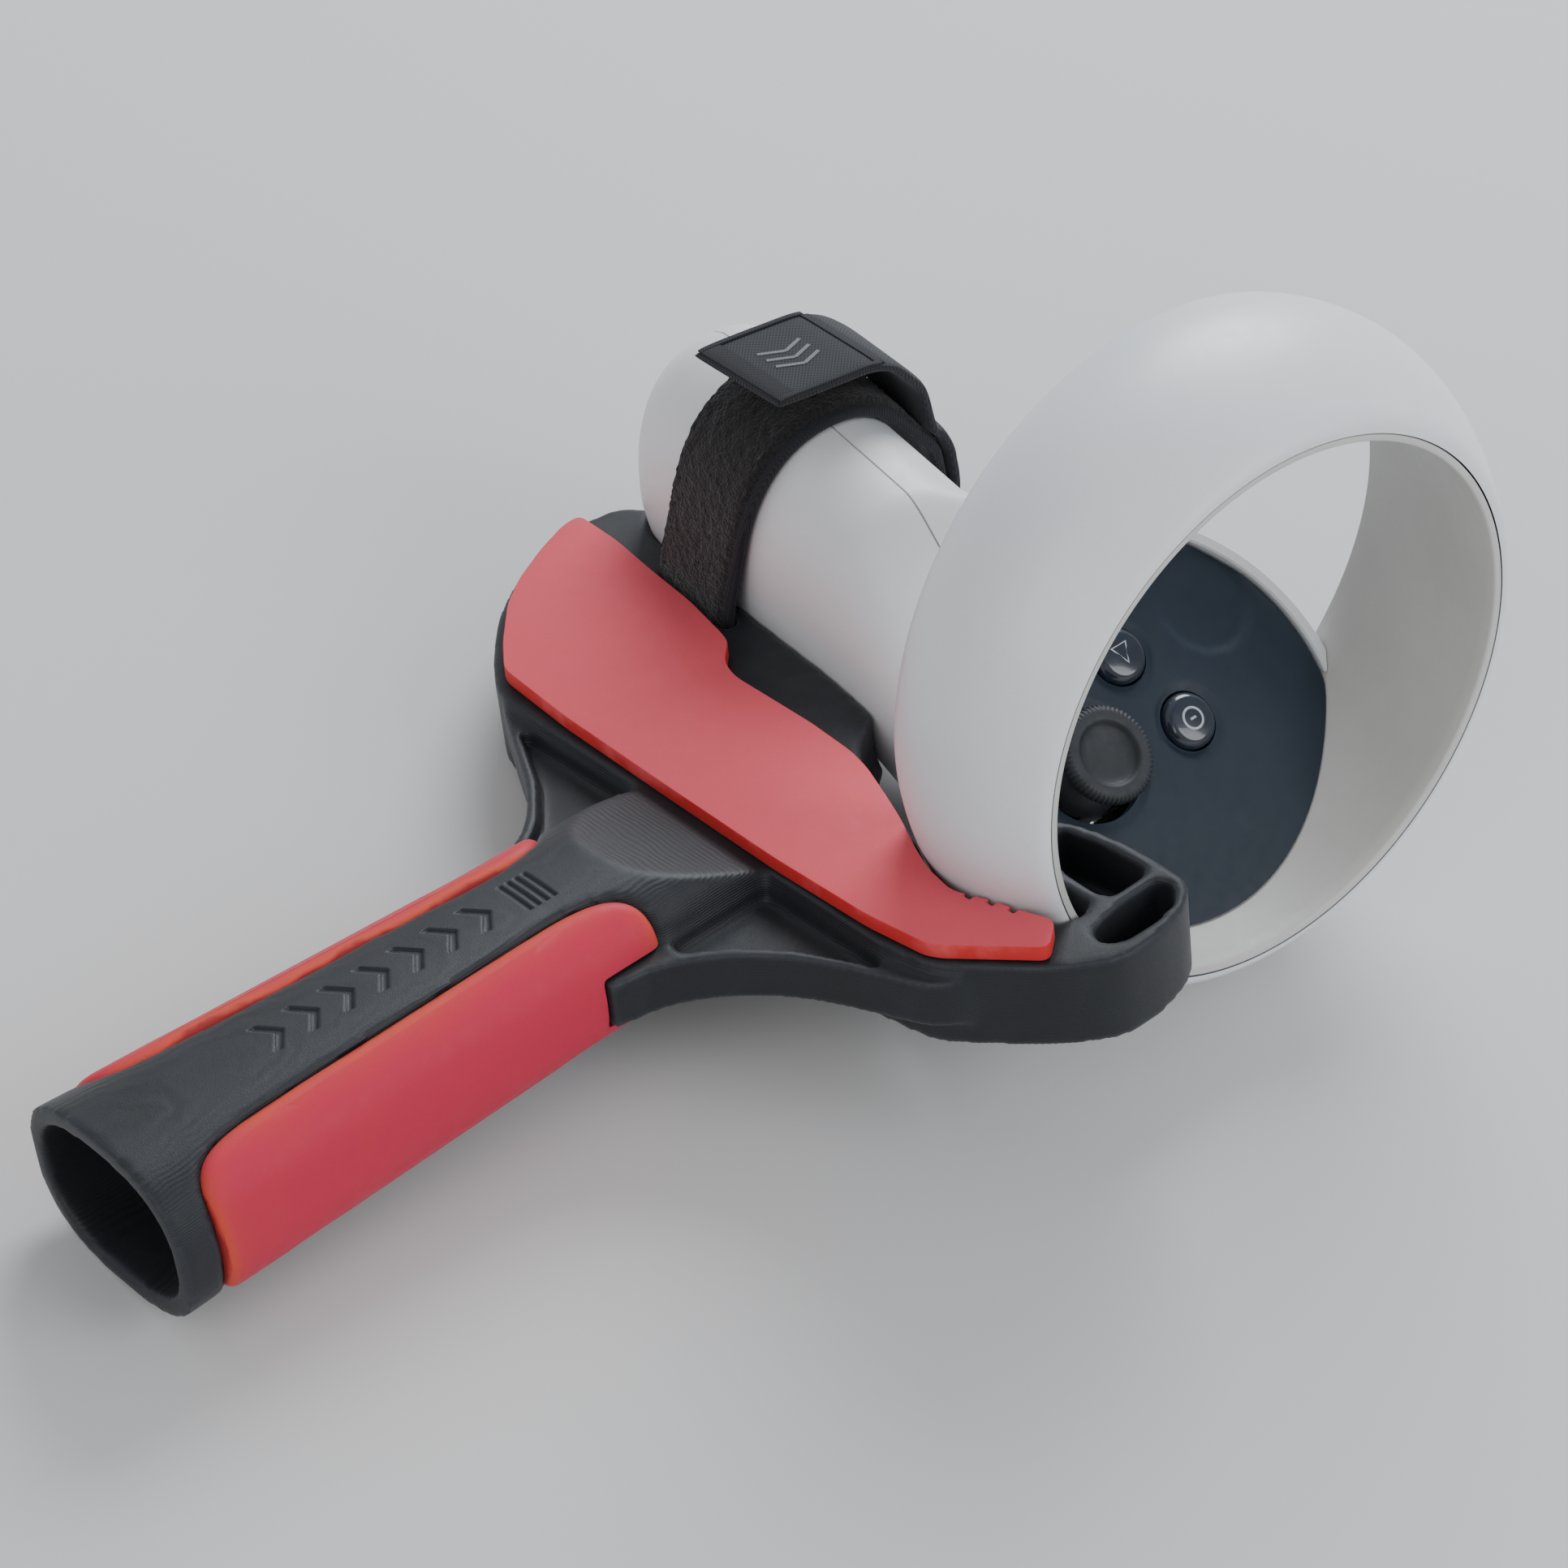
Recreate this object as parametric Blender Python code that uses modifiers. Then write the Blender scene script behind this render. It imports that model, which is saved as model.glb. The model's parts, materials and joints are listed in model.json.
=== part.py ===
"""VR motion controller strapped into a bat-handle adapter.

Everything is modelled in the adapter's own frame in millimetres: X along the
cross bar towards the cradle, Y along the bat handle away from its butt, Z out
of the blade.  The front rim of the tracking ring is centred on that frame's
origin.  One empty turns the whole assembly into the pose in which it lies on
a table (+Z up, table at z = 0).
"""
import bpy
import bmesh
import math
from mathutils import Vector, Matrix

for _o in list(bpy.data.objects):
    bpy.data.objects.remove(_o, do_unlink=True)

# ------------------------------------------------------------------ constants
MM = 0.001
GAP = 0.3                      # clearance between touching pieces

# resting pose on the table
REST_ROT_X = 4.196               # degrees, about the blade's X
REST_ROT_Y = -11.533               # degrees, about the blade's Y
REST_YAW = 0.0                 # degrees, about the vertical
REST_SHIFT = (51.452, 53.042, 52.839)   # mm, after turning

# tracking ring
RING_TILT_Y = 2.42             # ring axis against the cross bar, degrees
RING_TILT_Z = -2.69
RING_R_FRONT = 41.55           # outer radius at the front rim
RING_R_BACK = 45.37            # mean outer radius at the back rim
RING_BACK_ECC = 2.53           # back rim is eccentric by this much ...
RING_BACK_DIR = 53.0           # ... in this direction
RING_BULGE = 4.86              # crown of the outer surface
RING_RIM = 2.6                 # wall at both rims
RING_SKIN = 1.15               # wall of each cover
RING_STEPS = 56

# adapter
PLATE_TOP = -10.8              # top of the soft blade pad
PLATE_THICK = 2.3
DECK = PLATE_TOP - PLATE_THICK - GAP   # top of the cross bar
BAR_BOTTOM = -26.8
WEB_TOP = -15.2
WEB_FLOOR = -19.4
WEB_BOTTOM = -22.6
HANDLE_X = -53.3
HANDLE_Z = -18.0
BUTT_Y = -157.0
NECK_Y = -88.0
BUTT_A, BUTT_B = 17.2, 12.7    # half width and half thickness at the butt
NECK_A, NECK_B = 14.1, 10.9    # and at the neck
HANDLE_POW = 2.6
HANDLE_WALL = 2.6
PAD_SINK = 1.1                 # how deep the grip pads lie in the handle
PAD_PROUD = 0.5                # how far they stand out of it

# controller grip
GRIP_A, GRIP_B = 14.6, 21.2    # half width (Y) and half depth (Z)
GRIP_KY, GRIP_KZ = -0.09, -0.16   # slant of the grip's axis against the cross bar
GRIP_WALL = 2.0
GRIP_X0 = -118.0               # end of the grip
GRIP_X1 = -68.0                # where it runs into the head
STRAP_X0, STRAP_X1 = -100.1, -83.8
STRAP_THICK = 1.9
TAB_THICK = 2.0                # stiff tab at the strap's free end

# faceplate
FACE_C = Vector((-29.4, 3.4, -21.3))
FACE_N = Vector((0.708, 0.022, 0.706)).normalized()
FACE_R = 31.0
HEAD_R = 33.0

# ---------------------------------------------------------------- collections
main_col = bpy.data.collections.new("vr_motion_controller")
cut_col = bpy.data.collections.new("cutters")
bpy.context.scene.collection.children.link(main_col)
bpy.context.scene.collection.children.link(cut_col)

root = bpy.data.objects.new("assembly_pose", None)
main_col.objects.link(root)
_tilt = (Matrix.Rotation(math.radians(REST_YAW), 4, 'Z')
         @ Matrix.Rotation(math.radians(REST_ROT_Y), 4, 'Y')
         @ Matrix.Rotation(math.radians(REST_ROT_X), 4, 'X'))
root.matrix_world = Matrix.Translation(Vector(REST_SHIFT) * MM) @ _tilt


# ------------------------------------------------------------------ materials
def material(name, rgb, rough, metal=0.0):
    m = bpy.data.materials.new(name)
    m.use_nodes = True
    b = m.node_tree.nodes["Principled BSDF"]
    b.inputs["Base Color"].default_value = (*rgb, 1.0)
    b.inputs["Roughness"].default_value = rough
    b.inputs["Metallic"].default_value = metal
    m.diffuse_color = (*rgb, 1.0)
    return m


M_BLACK = material("black_printed_nylon", (0.018, 0.021, 0.026), 0.55)
M_RED = material("red_soft_pad", (0.62, 0.075, 0.085), 0.5)
M_PLATE = material("red_blade_rubber", (0.66, 0.13, 0.155), 0.48)
M_STRAP = material("black_hook_and_loop", (0.012, 0.012, 0.013), 0.95)
M_WHITE = material("white_plastic", (0.66, 0.66, 0.65), 0.42)
M_GREY = material("light_grey_plastic", (0.50, 0.51, 0.50), 0.5)
M_DARK = material("dark_faceplate", (0.022, 0.032, 0.042), 0.45)
M_BUTTON = material("dark_button", (0.03, 0.04, 0.055), 0.22)
M_RUBBER = material("black_rubber", (0.02, 0.02, 0.022), 0.7)
M_BOARD = material("green_board", (0.02, 0.12, 0.05), 0.4)
M_STEEL = material("steel", (0.6, 0.6, 0.6), 0.3, 1.0)
M_CELL = material("cell_sleeve", (0.05, 0.12, 0.22), 0.35)
M_FLEX = material("flex_circuit", (0.35, 0.2, 0.06), 0.4)


# -------------------------------------------------------------------- helpers
def link(ob, mat=None, col=None):
    (col or main_col).objects.link(ob)
    ob.parent = root
    if mat:
        ob.data.materials.clear()
        ob.data.materials.append(mat)
    return ob


def from_bm(name, bm, mat=None, pivot=None, smooth=40.0, col=None):
    """Object from a bmesh in adapter millimetres; pivot becomes its origin."""
    p = Vector(pivot) if pivot is not None else Vector((0, 0, 0))
    bmesh.ops.recalc_face_normals(bm, faces=bm.faces[:])
    bmesh.ops.transform(bm, matrix=Matrix.Scale(MM, 4) @ Matrix.Translation(-p), verts=bm.verts[:])
    me = bpy.data.meshes.new(name)
    bm.to_mesh(me)
    bm.free()
    ob = bpy.data.objects.new(name, me)
    link(ob, mat, col)
    ob.location = p * MM
    if smooth:
        me.shade_smooth()
        me.set_sharp_from_angle(angle=math.radians(smooth))
    return ob


def as_cutter(ob):
    ob.hide_render = True
    ob.display_type = 'WIRE'
    return ob


def loft(rings, closed=False, caps=True):
    """Skin a list of equally long point loops; closed joins last to first."""
    bm = bmesh.new()
    vs = [[bm.verts.new(Vector(p)) for p in r] for r in rings]
    n = len(vs[0])
    m = len(vs)
    for i in range(m if closed else m - 1):
        a, b = vs[i], vs[(i + 1) % m]
        for j in range(n):
            k = (j + 1) % n
            bm.faces.new((a[j], a[k], b[k], b[j]))
    if caps and not closed:
        bm.faces.new(list(reversed(vs[0])))
        bm.faces.new(vs[-1])
    return bm


def merge_bm(a, b):
    """Append bmesh b to bmesh a."""
    me = bpy.data.meshes.new("tmp")
    b.to_mesh(me)
    b.free()
    a.from_mesh(me)
    bpy.data.meshes.remove(me)
    return a


def boolean(ob, other, op='DIFFERENCE'):
    m = ob.modifiers.new("bool_" + other.name[:20], 'BOOLEAN')
    m.operation = op
    m.object = other
    m.solver = 'EXACT'
    as_cutter(other)
    return m


def apply_all(ob):
    """Replace the object's mesh by its evaluated one and drop the modifiers."""
    bpy.context.view_layer.update()
    dg = bpy.context.evaluated_depsgraph_get()
    me = bpy.data.meshes.new_from_object(ob.evaluated_get(dg))
    ob.modifiers.clear()
    old = ob.data
    ob.data = me
    bpy.data.meshes.remove(old)
    return ob


def bevel(ob, width, segments=2, angle=30.0):
    m = ob.modifiers.new("edge_round", 'BEVEL')
    m.width = width * MM
    m.segments = segments
    m.limit_method = 'ANGLE'
    m.angle_limit = math.radians(angle)
    m.harden_normals = False
    return m


def outline_solid(name, pts, z0, z1, mat=None, col=None, basis=None, pivot=None):
    """Flat outline extruded between two heights, made as a filled 2D curve."""
    cu = bpy.data.curves.new(name, 'CURVE')
    cu.dimensions = '2D'
    cu.fill_mode = 'BOTH'
    cu.extrude = (z1 - z0) / 2 * MM
    sp = cu.splines.new('POLY')
    sp.points.add(len(pts) - 1)
    for q, p in zip(sp.points, pts):
        q.co = (p[0] * MM, p[1] * MM, 0, 1)
    sp.use_cyclic_u = True
    tmp = bpy.data.objects.new(name + "_curve", cu)
    cut_col.objects.link(tmp)
    bpy.context.view_layer.update()
    dg = bpy.context.evaluated_depsgraph_get()
    me = bpy.data.meshes.new_from_object(tmp.evaluated_get(dg))
    bpy.data.objects.remove(tmp, do_unlink=True)
    bm = bmesh.new()
    bm.from_mesh(me)
    bpy.data.meshes.remove(me)
    bmesh.ops.remove_doubles(bm, verts=bm.verts[:], dist=1e-6)
    bmesh.ops.dissolve_limit(bm, angle_limit=math.radians(0.5), verts=bm.verts[:], edges=bm.edges[:])
    bmesh.ops.transform(bm, matrix=Matrix.Scale(1 / MM, 4), verts=bm.verts[:])
    bmesh.ops.translate(bm, vec=(0, 0, (z0 + z1) / 2), verts=bm.verts[:])
    if basis is not None:
        bmesh.ops.transform(bm, matrix=basis, verts=bm.verts[:])
    return from_bm(name, bm, mat, pivot=pivot, smooth=30.0, col=col)


def frame_matrix(origin, x, y, z):
    m = Matrix.Identity(4)
    for i, v in enumerate((x, y, z)):
        m[0][i], m[1][i], m[2][i] = v
    m[0][3], m[1][3], m[2][3] = origin
    return m


def turned_bm(profile, basis, steps=32):
    """Solid of revolution about basis Z from (radius, height) points."""
    bm = bmesh.new()
    rings = []
    for r, h in profile:
        if r < 1e-6:
            rings.append([bm.verts.new((0, 0, h))])
        else:
            rings.append([bm.verts.new((r * math.cos(2 * math.pi * k / steps),
                                        r * math.sin(2 * math.pi * k / steps), h)) for k in range(steps)])
    for a, b in zip(rings, rings[1:]):
        for k in range(steps):
            l = (k + 1) % steps
            if len(a) == 1 and len(b) == 1:
                continue
            if len(a) == 1:
                bm.faces.new((a[0], b[l], b[k]))
            elif len(b) == 1:
                bm.faces.new((a[k], a[l], b[0]))
            else:
                bm.faces.new((a[k], a[l], b[l], b[k]))
    if len(rings[0]) > 1:
        bm.faces.new(rings[0])
    if len(rings[-1]) > 1:
        bm.faces.new(rings[-1])
    bmesh.ops.transform(bm, matrix=basis, verts=bm.verts[:])
    return bm


def box_bm(size, centre, basis=None):
    bm = bmesh.new()
    bmesh.ops.create_cube(bm, size=1.0)
    bmesh.ops.scale(bm, vec=size, verts=bm.verts[:])
    bmesh.ops.translate(bm, vec=centre, verts=bm.verts[:])
    if basis is not None:
        bmesh.ops.transform(bm, matrix=basis, verts=bm.verts[:])
    return bm


def smoothstep(t):
    t = min(1.0, max(0.0, t))
    return t * t * (3 - 2 * t)


def superellipse(a, b, p, n, phase=0.0):
    out = []
    for k in range(n):
        t = 2 * math.pi * k / n + phase
        c, s = math.cos(t), math.sin(t)
        out.append((a * math.copysign(abs(c) ** (2 / p), c), b * math.copysign(abs(s) ** (2 / p), s)))
    return out


def rounded(points, radius, seg=4):
    """Round every corner of a closed outline."""
    out = []
    n = len(points)
    for i in range(n):
        p0, p1, p2 = Vector(points[i - 1]), Vector(points[i]), Vector(points[(i + 1) % n])
        a, b = (p0 - p1), (p2 - p1)
        d = min(radius, a.length * 0.45, b.length * 0.45)
        q0, q1 = p1 + a.normalized() * d, p1 + b.normalized() * d
        if a.normalized().dot(-b.normalized()) > 0.985:
            out.append(tuple(p1))
            continue
        for k in range(seg + 1):
            t = k / seg
            out.append(tuple(q0 * (1 - t) ** 2 + p1 * 2 * t * (1 - t) + q1 * t * t))
    return out


# ------------------------------------------------------------- tracking ring
RING_M = Matrix.Rotation(math.radians(RING_TILT_Z), 3, 'Z') @ Matrix.Rotation(math.radians(RING_TILT_Y), 3, 'Y')


def ring_width(th):
    return (29.9 + 1.57 * math.cos(th) - 2.10 * math.sin(th)
            - 0.70 * math.cos(2 * th) - 0.50 * math.sin(2 * th))


def ring_back_r(th):
    return RING_R_BACK + RING_BACK_ECC * math.cos(th - math.radians(RING_BACK_DIR))


def ring_outer_r(s, th):
    return RING_R_FRONT * (1 - s) + ring_back_r(th) * s + RING_BULGE * 4 * s * (1 - s)


def ring_inner_r(s, th):
    return (RING_R_FRONT - RING_RIM) * (1 - s) + (ring_back_r(th) - RING_RIM) * s + 0.5 * 4 * s * (1 - s)


def ring_point(s, th, r):
    return RING_M @ Vector((-s * ring_width(th), r * math.cos(th), r * math.sin(th)))


def ring_band(profile, steps=RING_STEPS):
    """profile(th) gives the closed cross-section as (s, r) pairs."""
    rings = []
    for k in range(steps):
        th = 2 * math.pi * k / steps
        rings.append([ring_point(s, th, r) for s, r in profile(th)])
    return loft(rings, closed=True)


SS = [i / 7 for i in range(8)]


def outer_cover_profile(th):
    out = [(s, ring_outer_r(s, th)) for s in SS]
    inn = [(s, ring_outer_r(s, th) - RING_SKIN - 0.6 * 4 * s * (1 - s)) for s in reversed(SS)]
    return out + inn


def inner_cover_profile(th):
    top = [(s, ring_inner_r(s, th) + RING_SKIN) for s in (0, .25, .5, .75, 1)]
    low = [(s, ring_inner_r(s, th)) for s in (1, .75, .5, .25, 0)]
    return top + low


def led_profile(th):
    s = (0.22, 0.5, 0.78)
    top = [(t, ring_inner_r(t, th) + RING_SKIN + 1.0) for t in s]
    low = [(t, ring_inner_r(t, th) + RING_SKIN + 0.4) for t in reversed(s)]
    return top + low


def ring_block_profile(grow):
    """The whole band as one solid, grown by a clearance."""
    def f(th):
        e = grow / ring_width(th)
        ss = [0 - e] + [s for s in SS[1:-1]] + [1 + e]
        out = [(s, ring_outer_r(min(1, max(0, s)), th) + grow) for s in ss]
        inn = [(s, ring_inner_r(min(1, max(0, s)), th) - grow) for s in reversed(ss)]
        return out + inn
    return f


ring_outer = from_bm("ring_outer_cover", ring_band(outer_cover_profile), M_WHITE, smooth=50)
ring_inner = from_bm("ring_inner_cover", ring_band(inner_cover_profile, 48), M_GREY, smooth=50)
ring_led = from_bm("ring_led_flex", ring_band(led_profile, 40), M_FLEX, smooth=50)


# ------------------------------------------------------------ grip and strap
def grip_centre(x):
    return Vector((x, -7.3 + GRIP_KY * (x + 82), -7.7 + GRIP_KZ * (x + 82)))


GRIP_D = Vector((1, GRIP_KY, GRIP_KZ)).normalized()
GRIP_U = (Vector((0, 1, 0)) - GRIP_D * GRIP_D.y).normalized()
GRIP_V = GRIP_D.cross(GRIP_U)
GRIP_O = grip_centre(GRIP_X0)
GRIP_LEN = (grip_centre(GRIP_X1) - GRIP_O).length
GRIP_F = frame_matrix(GRIP_O, GRIP_U, GRIP_V, GRIP_D)      # local: u, v, along
GRIP_P = 2.25


def grip_end_scale(s):
    """Rounding of the grip's free end."""
    if s >= 10.0:
        return 1.0
    return math.sqrt(max(0.0, 1 - ((10.0 - s) / 10.4) ** 2 * 0.80))


def grip_ring(s, off=0.0, n=32, scale=1.0):
    a, b = (GRIP_A + off) * scale, (GRIP_B + off) * scale
    return [GRIP_F @ Vector((u, v, s)) for u, v in superellipse(a, b, GRIP_P, n)]


# head: blend from the grip to the faceplate rim
FACE_E1 = (Vector((0, 1, 0)) - FACE_N * FACE_N.y).normalized()
FACE_E2 = FACE_N.cross(FACE_E1)
FACE_F = frame_matrix(FACE_C, FACE_E1, FACE_E2, FACE_N)


def head_ring(t, off=0.0, n=32):
    """t = 0 at the grip's neck, 1 just under the faceplate rim: every rib
    leaves the grip along its axis and meets the rim square to the plate."""
    t2, t3 = t * t, t * t * t
    out = []
    neck_pts = grip_ring(GRIP_LEN, off, n)
    for k, q in enumerate(superellipse(HEAD_R + off, HEAD_R + off, 2.0, n)):
        p0, p1 = neck_pts[k], FACE_F @ Vector((q[0], q[1], 0))
        d = (p1 - p0).length
        low = 0.5 - 0.5 * math.sin(2 * math.pi * k / n)
        out.append(p0 * (2 * t3 - 3 * t2 + 1) + GRIP_D * (d * 0.75) * (t3 - 2 * t2 + t)
                   + p1 * (3 * t2 - 2 * t3) + FACE_N * (d * (0.15 + 0.85 * low)) * (t3 - t2))
    return out


HEAD_T = (0.14, 0.3, 0.46, 0.62, 0.78, 0.9, 1.0)


def body_loft(off, n=32):
    rings = []
    for s in (0.0, 1.0, 2.8, 5.6, 10.0, 24.0, 40.0, GRIP_LEN):
        rings.append(grip_ring(s, off, n, grip_end_scale(s)))
    for t in HEAD_T:
        rings.append(head_ring(t, off, n))
    return rings


# outer skin, inner skin, joined at the faceplate opening: a cup
outer_rings = body_loft(0.0)
inner_rings = []
for s in (2.2, 3.4, 5.8, 10.0, 24.0, 40.0, GRIP_LEN):
    inner_rings.append(grip_ring(s, -GRIP_WALL, 32, grip_end_scale(max(0.0, s - 1.2))))
for t in HEAD_T:
    inner_rings.append(head_ring(t, -GRIP_WALL, 32))
body = from_bm("controller_body", loft(outer_rings + list(reversed(inner_rings))), M_WHITE, smooth=50)

# solid twin of the outer skin, grown, for cutting the adapter's saddle
grown = [grip_ring(-GAP - 0.2, 0.4, 32, grip_end_scale(0))] + body_loft(0.4) + \
        [[p + FACE_N * 3 for p in head_ring(1.0, 0.4)]]
body_cut = as_cutter(from_bm("body_clearance", loft(grown), col=cut_col))
body_solid = as_cutter(from_bm("body_solid", loft(body_loft(-0.2)), col=cut_col))


# --------------------------------------------------------------- adapter frame
def handle_ab(y):
    f = min(1.0, max(0.0, (y - BUTT_Y) / (NECK_Y - BUTT_Y)))
    f = f ** 0.9
    return BUTT_A + (NECK_A - BUTT_A) * f, BUTT_B + (NECK_B - BUTT_B) * f


def handle_ring(y, off=0.0, n=36):
    a, b = handle_ab(y)
    return [Vector((HANDLE_X + u, y, HANDLE_Z + v)) for u, v in superellipse(a + off, b + off, HANDLE_POW, n)]


def sig(x, y):
    return (x, y)


BAR = rounded([
    (-110.5, -12.8), (-118.0, -13.6), (-122.4, -17.2), (-123.2, -25.5), (-121.4, -33.6),
    (-117.6, -40.6), (-113.4, -46.4), (-106.2, -53.0), (-100.2, -57.2), (-96.0, -58.2),
    (-60.0, -58.6), (-16.5, -58.4), (-8.4, -56.9), (3.4, -47.0), (8.9, -39.6), (9.0, -32.6),
    (7.2, -26.2), (3.9, -22.0), (-3.0, -21.6), (-12.5, -22.6), (-19.0, -24.6),
    (-23.0, -33.0), (-27.0, -41.6), (-32.6, -39.4), (-38.2, -37.2), (-44.0, -35.0),
    (-50.0, -33.0), (-54.0, -27.0), (-60.0, -20.0), (-72.0, -14.0), (-87.0, -11.5), (-104.0, -11.0)], 2.0, 3)
frame = outline_solid("adapter_frame", BAR, BAR_BOTTOM, DECK, M_BLACK)

WING = rounded([
    (-118.0, -36.0), (-113.4, -46.2), (-105.0, -53.4), (-97.0, -58.6), (-89.4, -62.6), (-81.4, -66.8),
    (-74.8, -71.8), (-69.6, -79.0), (-68.6, -87.2), (-60.0, -87.2),
    (-46.0, -87.2), (-37.6, -87.2), (-36.2, -79.0), (-31.2, -71.8), (-24.6, -66.4),
    (-16.4, -62.4), (-6.5, -58.4), (-3.0, -52.0), (-60.0, -44.0)], 3.0, 3)
wing = outline_solid("wing_block", WING, WEB_BOTTOM, WEB_TOP, col=cut_col)
boolean(frame, wing, 'UNION')

RECESS_R = rounded([(-37.5, -61.2), (-13.0, -60.6), (-17.0, -60.9), (-25.6, -64.6), (-33.0, -70.2), (-37.6, -76.5)], 1.0, 2)
# web recesses: floor lowered between ridge wall and rolled rim
def recess(name, pts):
    return outline_solid(name, pts, WEB_FLOOR, 0.0, col=cut_col)


rec_r = recess("recess_right", rounded([(-36.6, -59.4), (-15.4, -59.2), (-21.0, -61.4), (-28.6, -65.2), (-34.8, -70.6), (-39.2, -77.4)], 0.8, 2))
rec_l = recess("recess_left", rounded([(-70.2, -59.4), (-100.0, -58.4), (-94.0, -59.6), (-86.0, -62.0), (-77.8, -65.8), (-71.2, -70.6), (-67.4, -77.4)], 0.8, 2))
boolean(frame, rec_r)
boolean(frame, rec_l)

# handle shell, root to butt
ys = [-54.0, -66.0, -78.0, NECK_Y, -105.0, -122.0, -140.0, -150.0, BUTT_Y]
handle = from_bm("handle_outer", loft([handle_ring(y) for y in ys]), col=cut_col)
boolean(frame, handle, 'UNION')
apply_all(frame)

# planar bevel from the handle's back down to the deck ledge
bev = outline_solid("root_bevel", [(-57.0, DECK), (-57.0, 2.0), (-92.0, 2.0), (-92.0, DECK + (92.0 - 58.6) * 0.36), (-59.2, DECK)],
                    -40.0, 40.0, col=cut_col,
                    basis=frame_matrix((HANDLE_X, 0, 0), (0, 1, 0), (0, 0, 1), (1, 0, 0)))
boolean(frame, bev)
top_trim = from_bm("deck_trim", box_bm((150, 46.4, 20), (-60, -35.8, DECK + 10)), col=cut_col)
boolean(frame, top_trim)
low_trim = from_bm("deck_trim_low", box_bm((150, 46.4, 20), (-60, -34.6, BAR_BOTTOM - 10)), col=cut_col)
boolean(frame, low_trim)

hollow_ys = [-80.0, NECK_Y, -105.0, -122.0, -140.0, BUTT_Y - 1]
hollow = from_bm("handle_hollow", loft([handle_ring(y, -HANDLE_WALL) for y in hollow_ys]), col=cut_col)
boolean(frame, hollow)

# cradle pockets between the ribs
boolean(frame, outline_solid("pocket_long", rounded([(-16.6, -25.4), (-2.4, -23.9), (-2.2, -30.4), (-13.6, -31.2)], 1.0, 3),
                             -19.6, 0.0, col=cut_col))
boolean(frame, outline_solid("pocket_end", rounded([(-0.6, -23.6), (3.2, -23.9), (6.9, -28.0), (6.9, -37.6), (5.2, -39.6), (2.6, -37.6)], 1.0, 3),
                             -22.6, 0.0, col=cut_col))
# ring channel and controller saddle
ring_cut = as_cutter(from_bm("ring_clearance", ring_band(ring_block_profile(0.35), 48), col=cut_col))
boolean(frame, ring_cut)
boolean(frame, body_cut)
apply_all(frame)

# ------------------------------------------------------------------ handle pads
def pad_ring(y, side, off0, off1, wider=0.0, n=9):
    a, b = handle_ab(y)
    f = min(1.0, max(0.0, (y - BUTT_Y) / (NECK_Y - BUTT_Y)))
    hi = 58.0 + 8.0 * f + wider
    lo = -hi

    def arc(off):
        out = []
        for k in range(n):
            t = math.radians(lo + (hi - lo) * k / (n - 1))
            c, s = math.cos(t), math.sin(t)
            out.append(Vector((HANDLE_X + side * (a + off) * abs(c) ** (2 / HANDLE_POW), y,
                               HANDLE_Z + (b + off) * math.copysign(abs(s) ** (2 / HANDLE_POW), s))))
        return out
    return arc(off1) + list(reversed(arc(off0)))


PAD_YS = [-77.0, -88.0, -105.0, -122.0, -140.0, -151.0]
for side, name in ((1, "handle_pad_right"), (-1, "handle_pad_left")):
    pad = from_bm(name, loft([pad_ring(y, side, -PAD_SINK + GAP, PAD_PROUD) for y in PAD_YS]), M_RED, smooth=50)
    ys2 = [PAD_YS[0] + GAP] + PAD_YS[1:-1] + [PAD_YS[-1] - GAP]
    cutp = from_bm(name + "_seat", loft([pad_ring(y, side, -PAD_SINK, 3.0, 2.0) for y in ys2]), col=cut_col)
    # widen the seat by the clearance along its long edges
    boolean(frame, cutp)
apply_all(frame)

# the shoulder tongues stay over the pads: notch the pads around them
for side, name in ((1, "handle_pad_right"), (-1, "handle_pad_left")):
    pad = bpy.data.objects[name]
    nb = from_bm(name + "_notch", box_bm((14, 28.6, 8.0), (HANDLE_X + side * (NECK_A + 5.2), -75.0, -18.9)), col=cut_col)
    boolean(pad, nb)

# ------------------------------------------------------------------- blade pad
PLATE = rounded([
    (-121.6, -24.2), (-121.4, -27.6), (-119.0, -33.6), (-115.6, -40.2), (-111.8, -45.4), (-104.8, -51.8),
    (-99.4, -55.8), (-84.0, -57.0), (-60.0, -57.6), (-37.8, -58.0), (-20.0, -57.6), (-10.0, -56.4), (-8.0, -55.4),
    (2.9, -46.1), (-0.8, -41.6), (-5.7, -43.4), (-10.2, -44.6), (-15.3, -46.6), (-20.8, -45.6), (-25.5, -43.8), (-32.1, -40.7),
    (-37.8, -38.5), (-43.5, -36.4), (-47.9, -35.4), (-57.0, -34.8), (-73.5, -34.8), (-77.1, -33.6),
    (-80.5, -30.1), (-82.6, -29.4), (-92.3, -27.3), (-103.0, -26.0), (-112.3, -24.6)], 1.2, 2)
plate = outline_solid("blade_pad", PLATE, PLATE_TOP - PLATE_THICK, PLATE_TOP, M_PLATE)
ring_cut2 = as_cutter(from_bm("ring_clearance_pad", ring_band(ring_block_profile(0.3), 48), col=cut_col))
boolean(plate, ring_cut2)
apply_all(plate)


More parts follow.
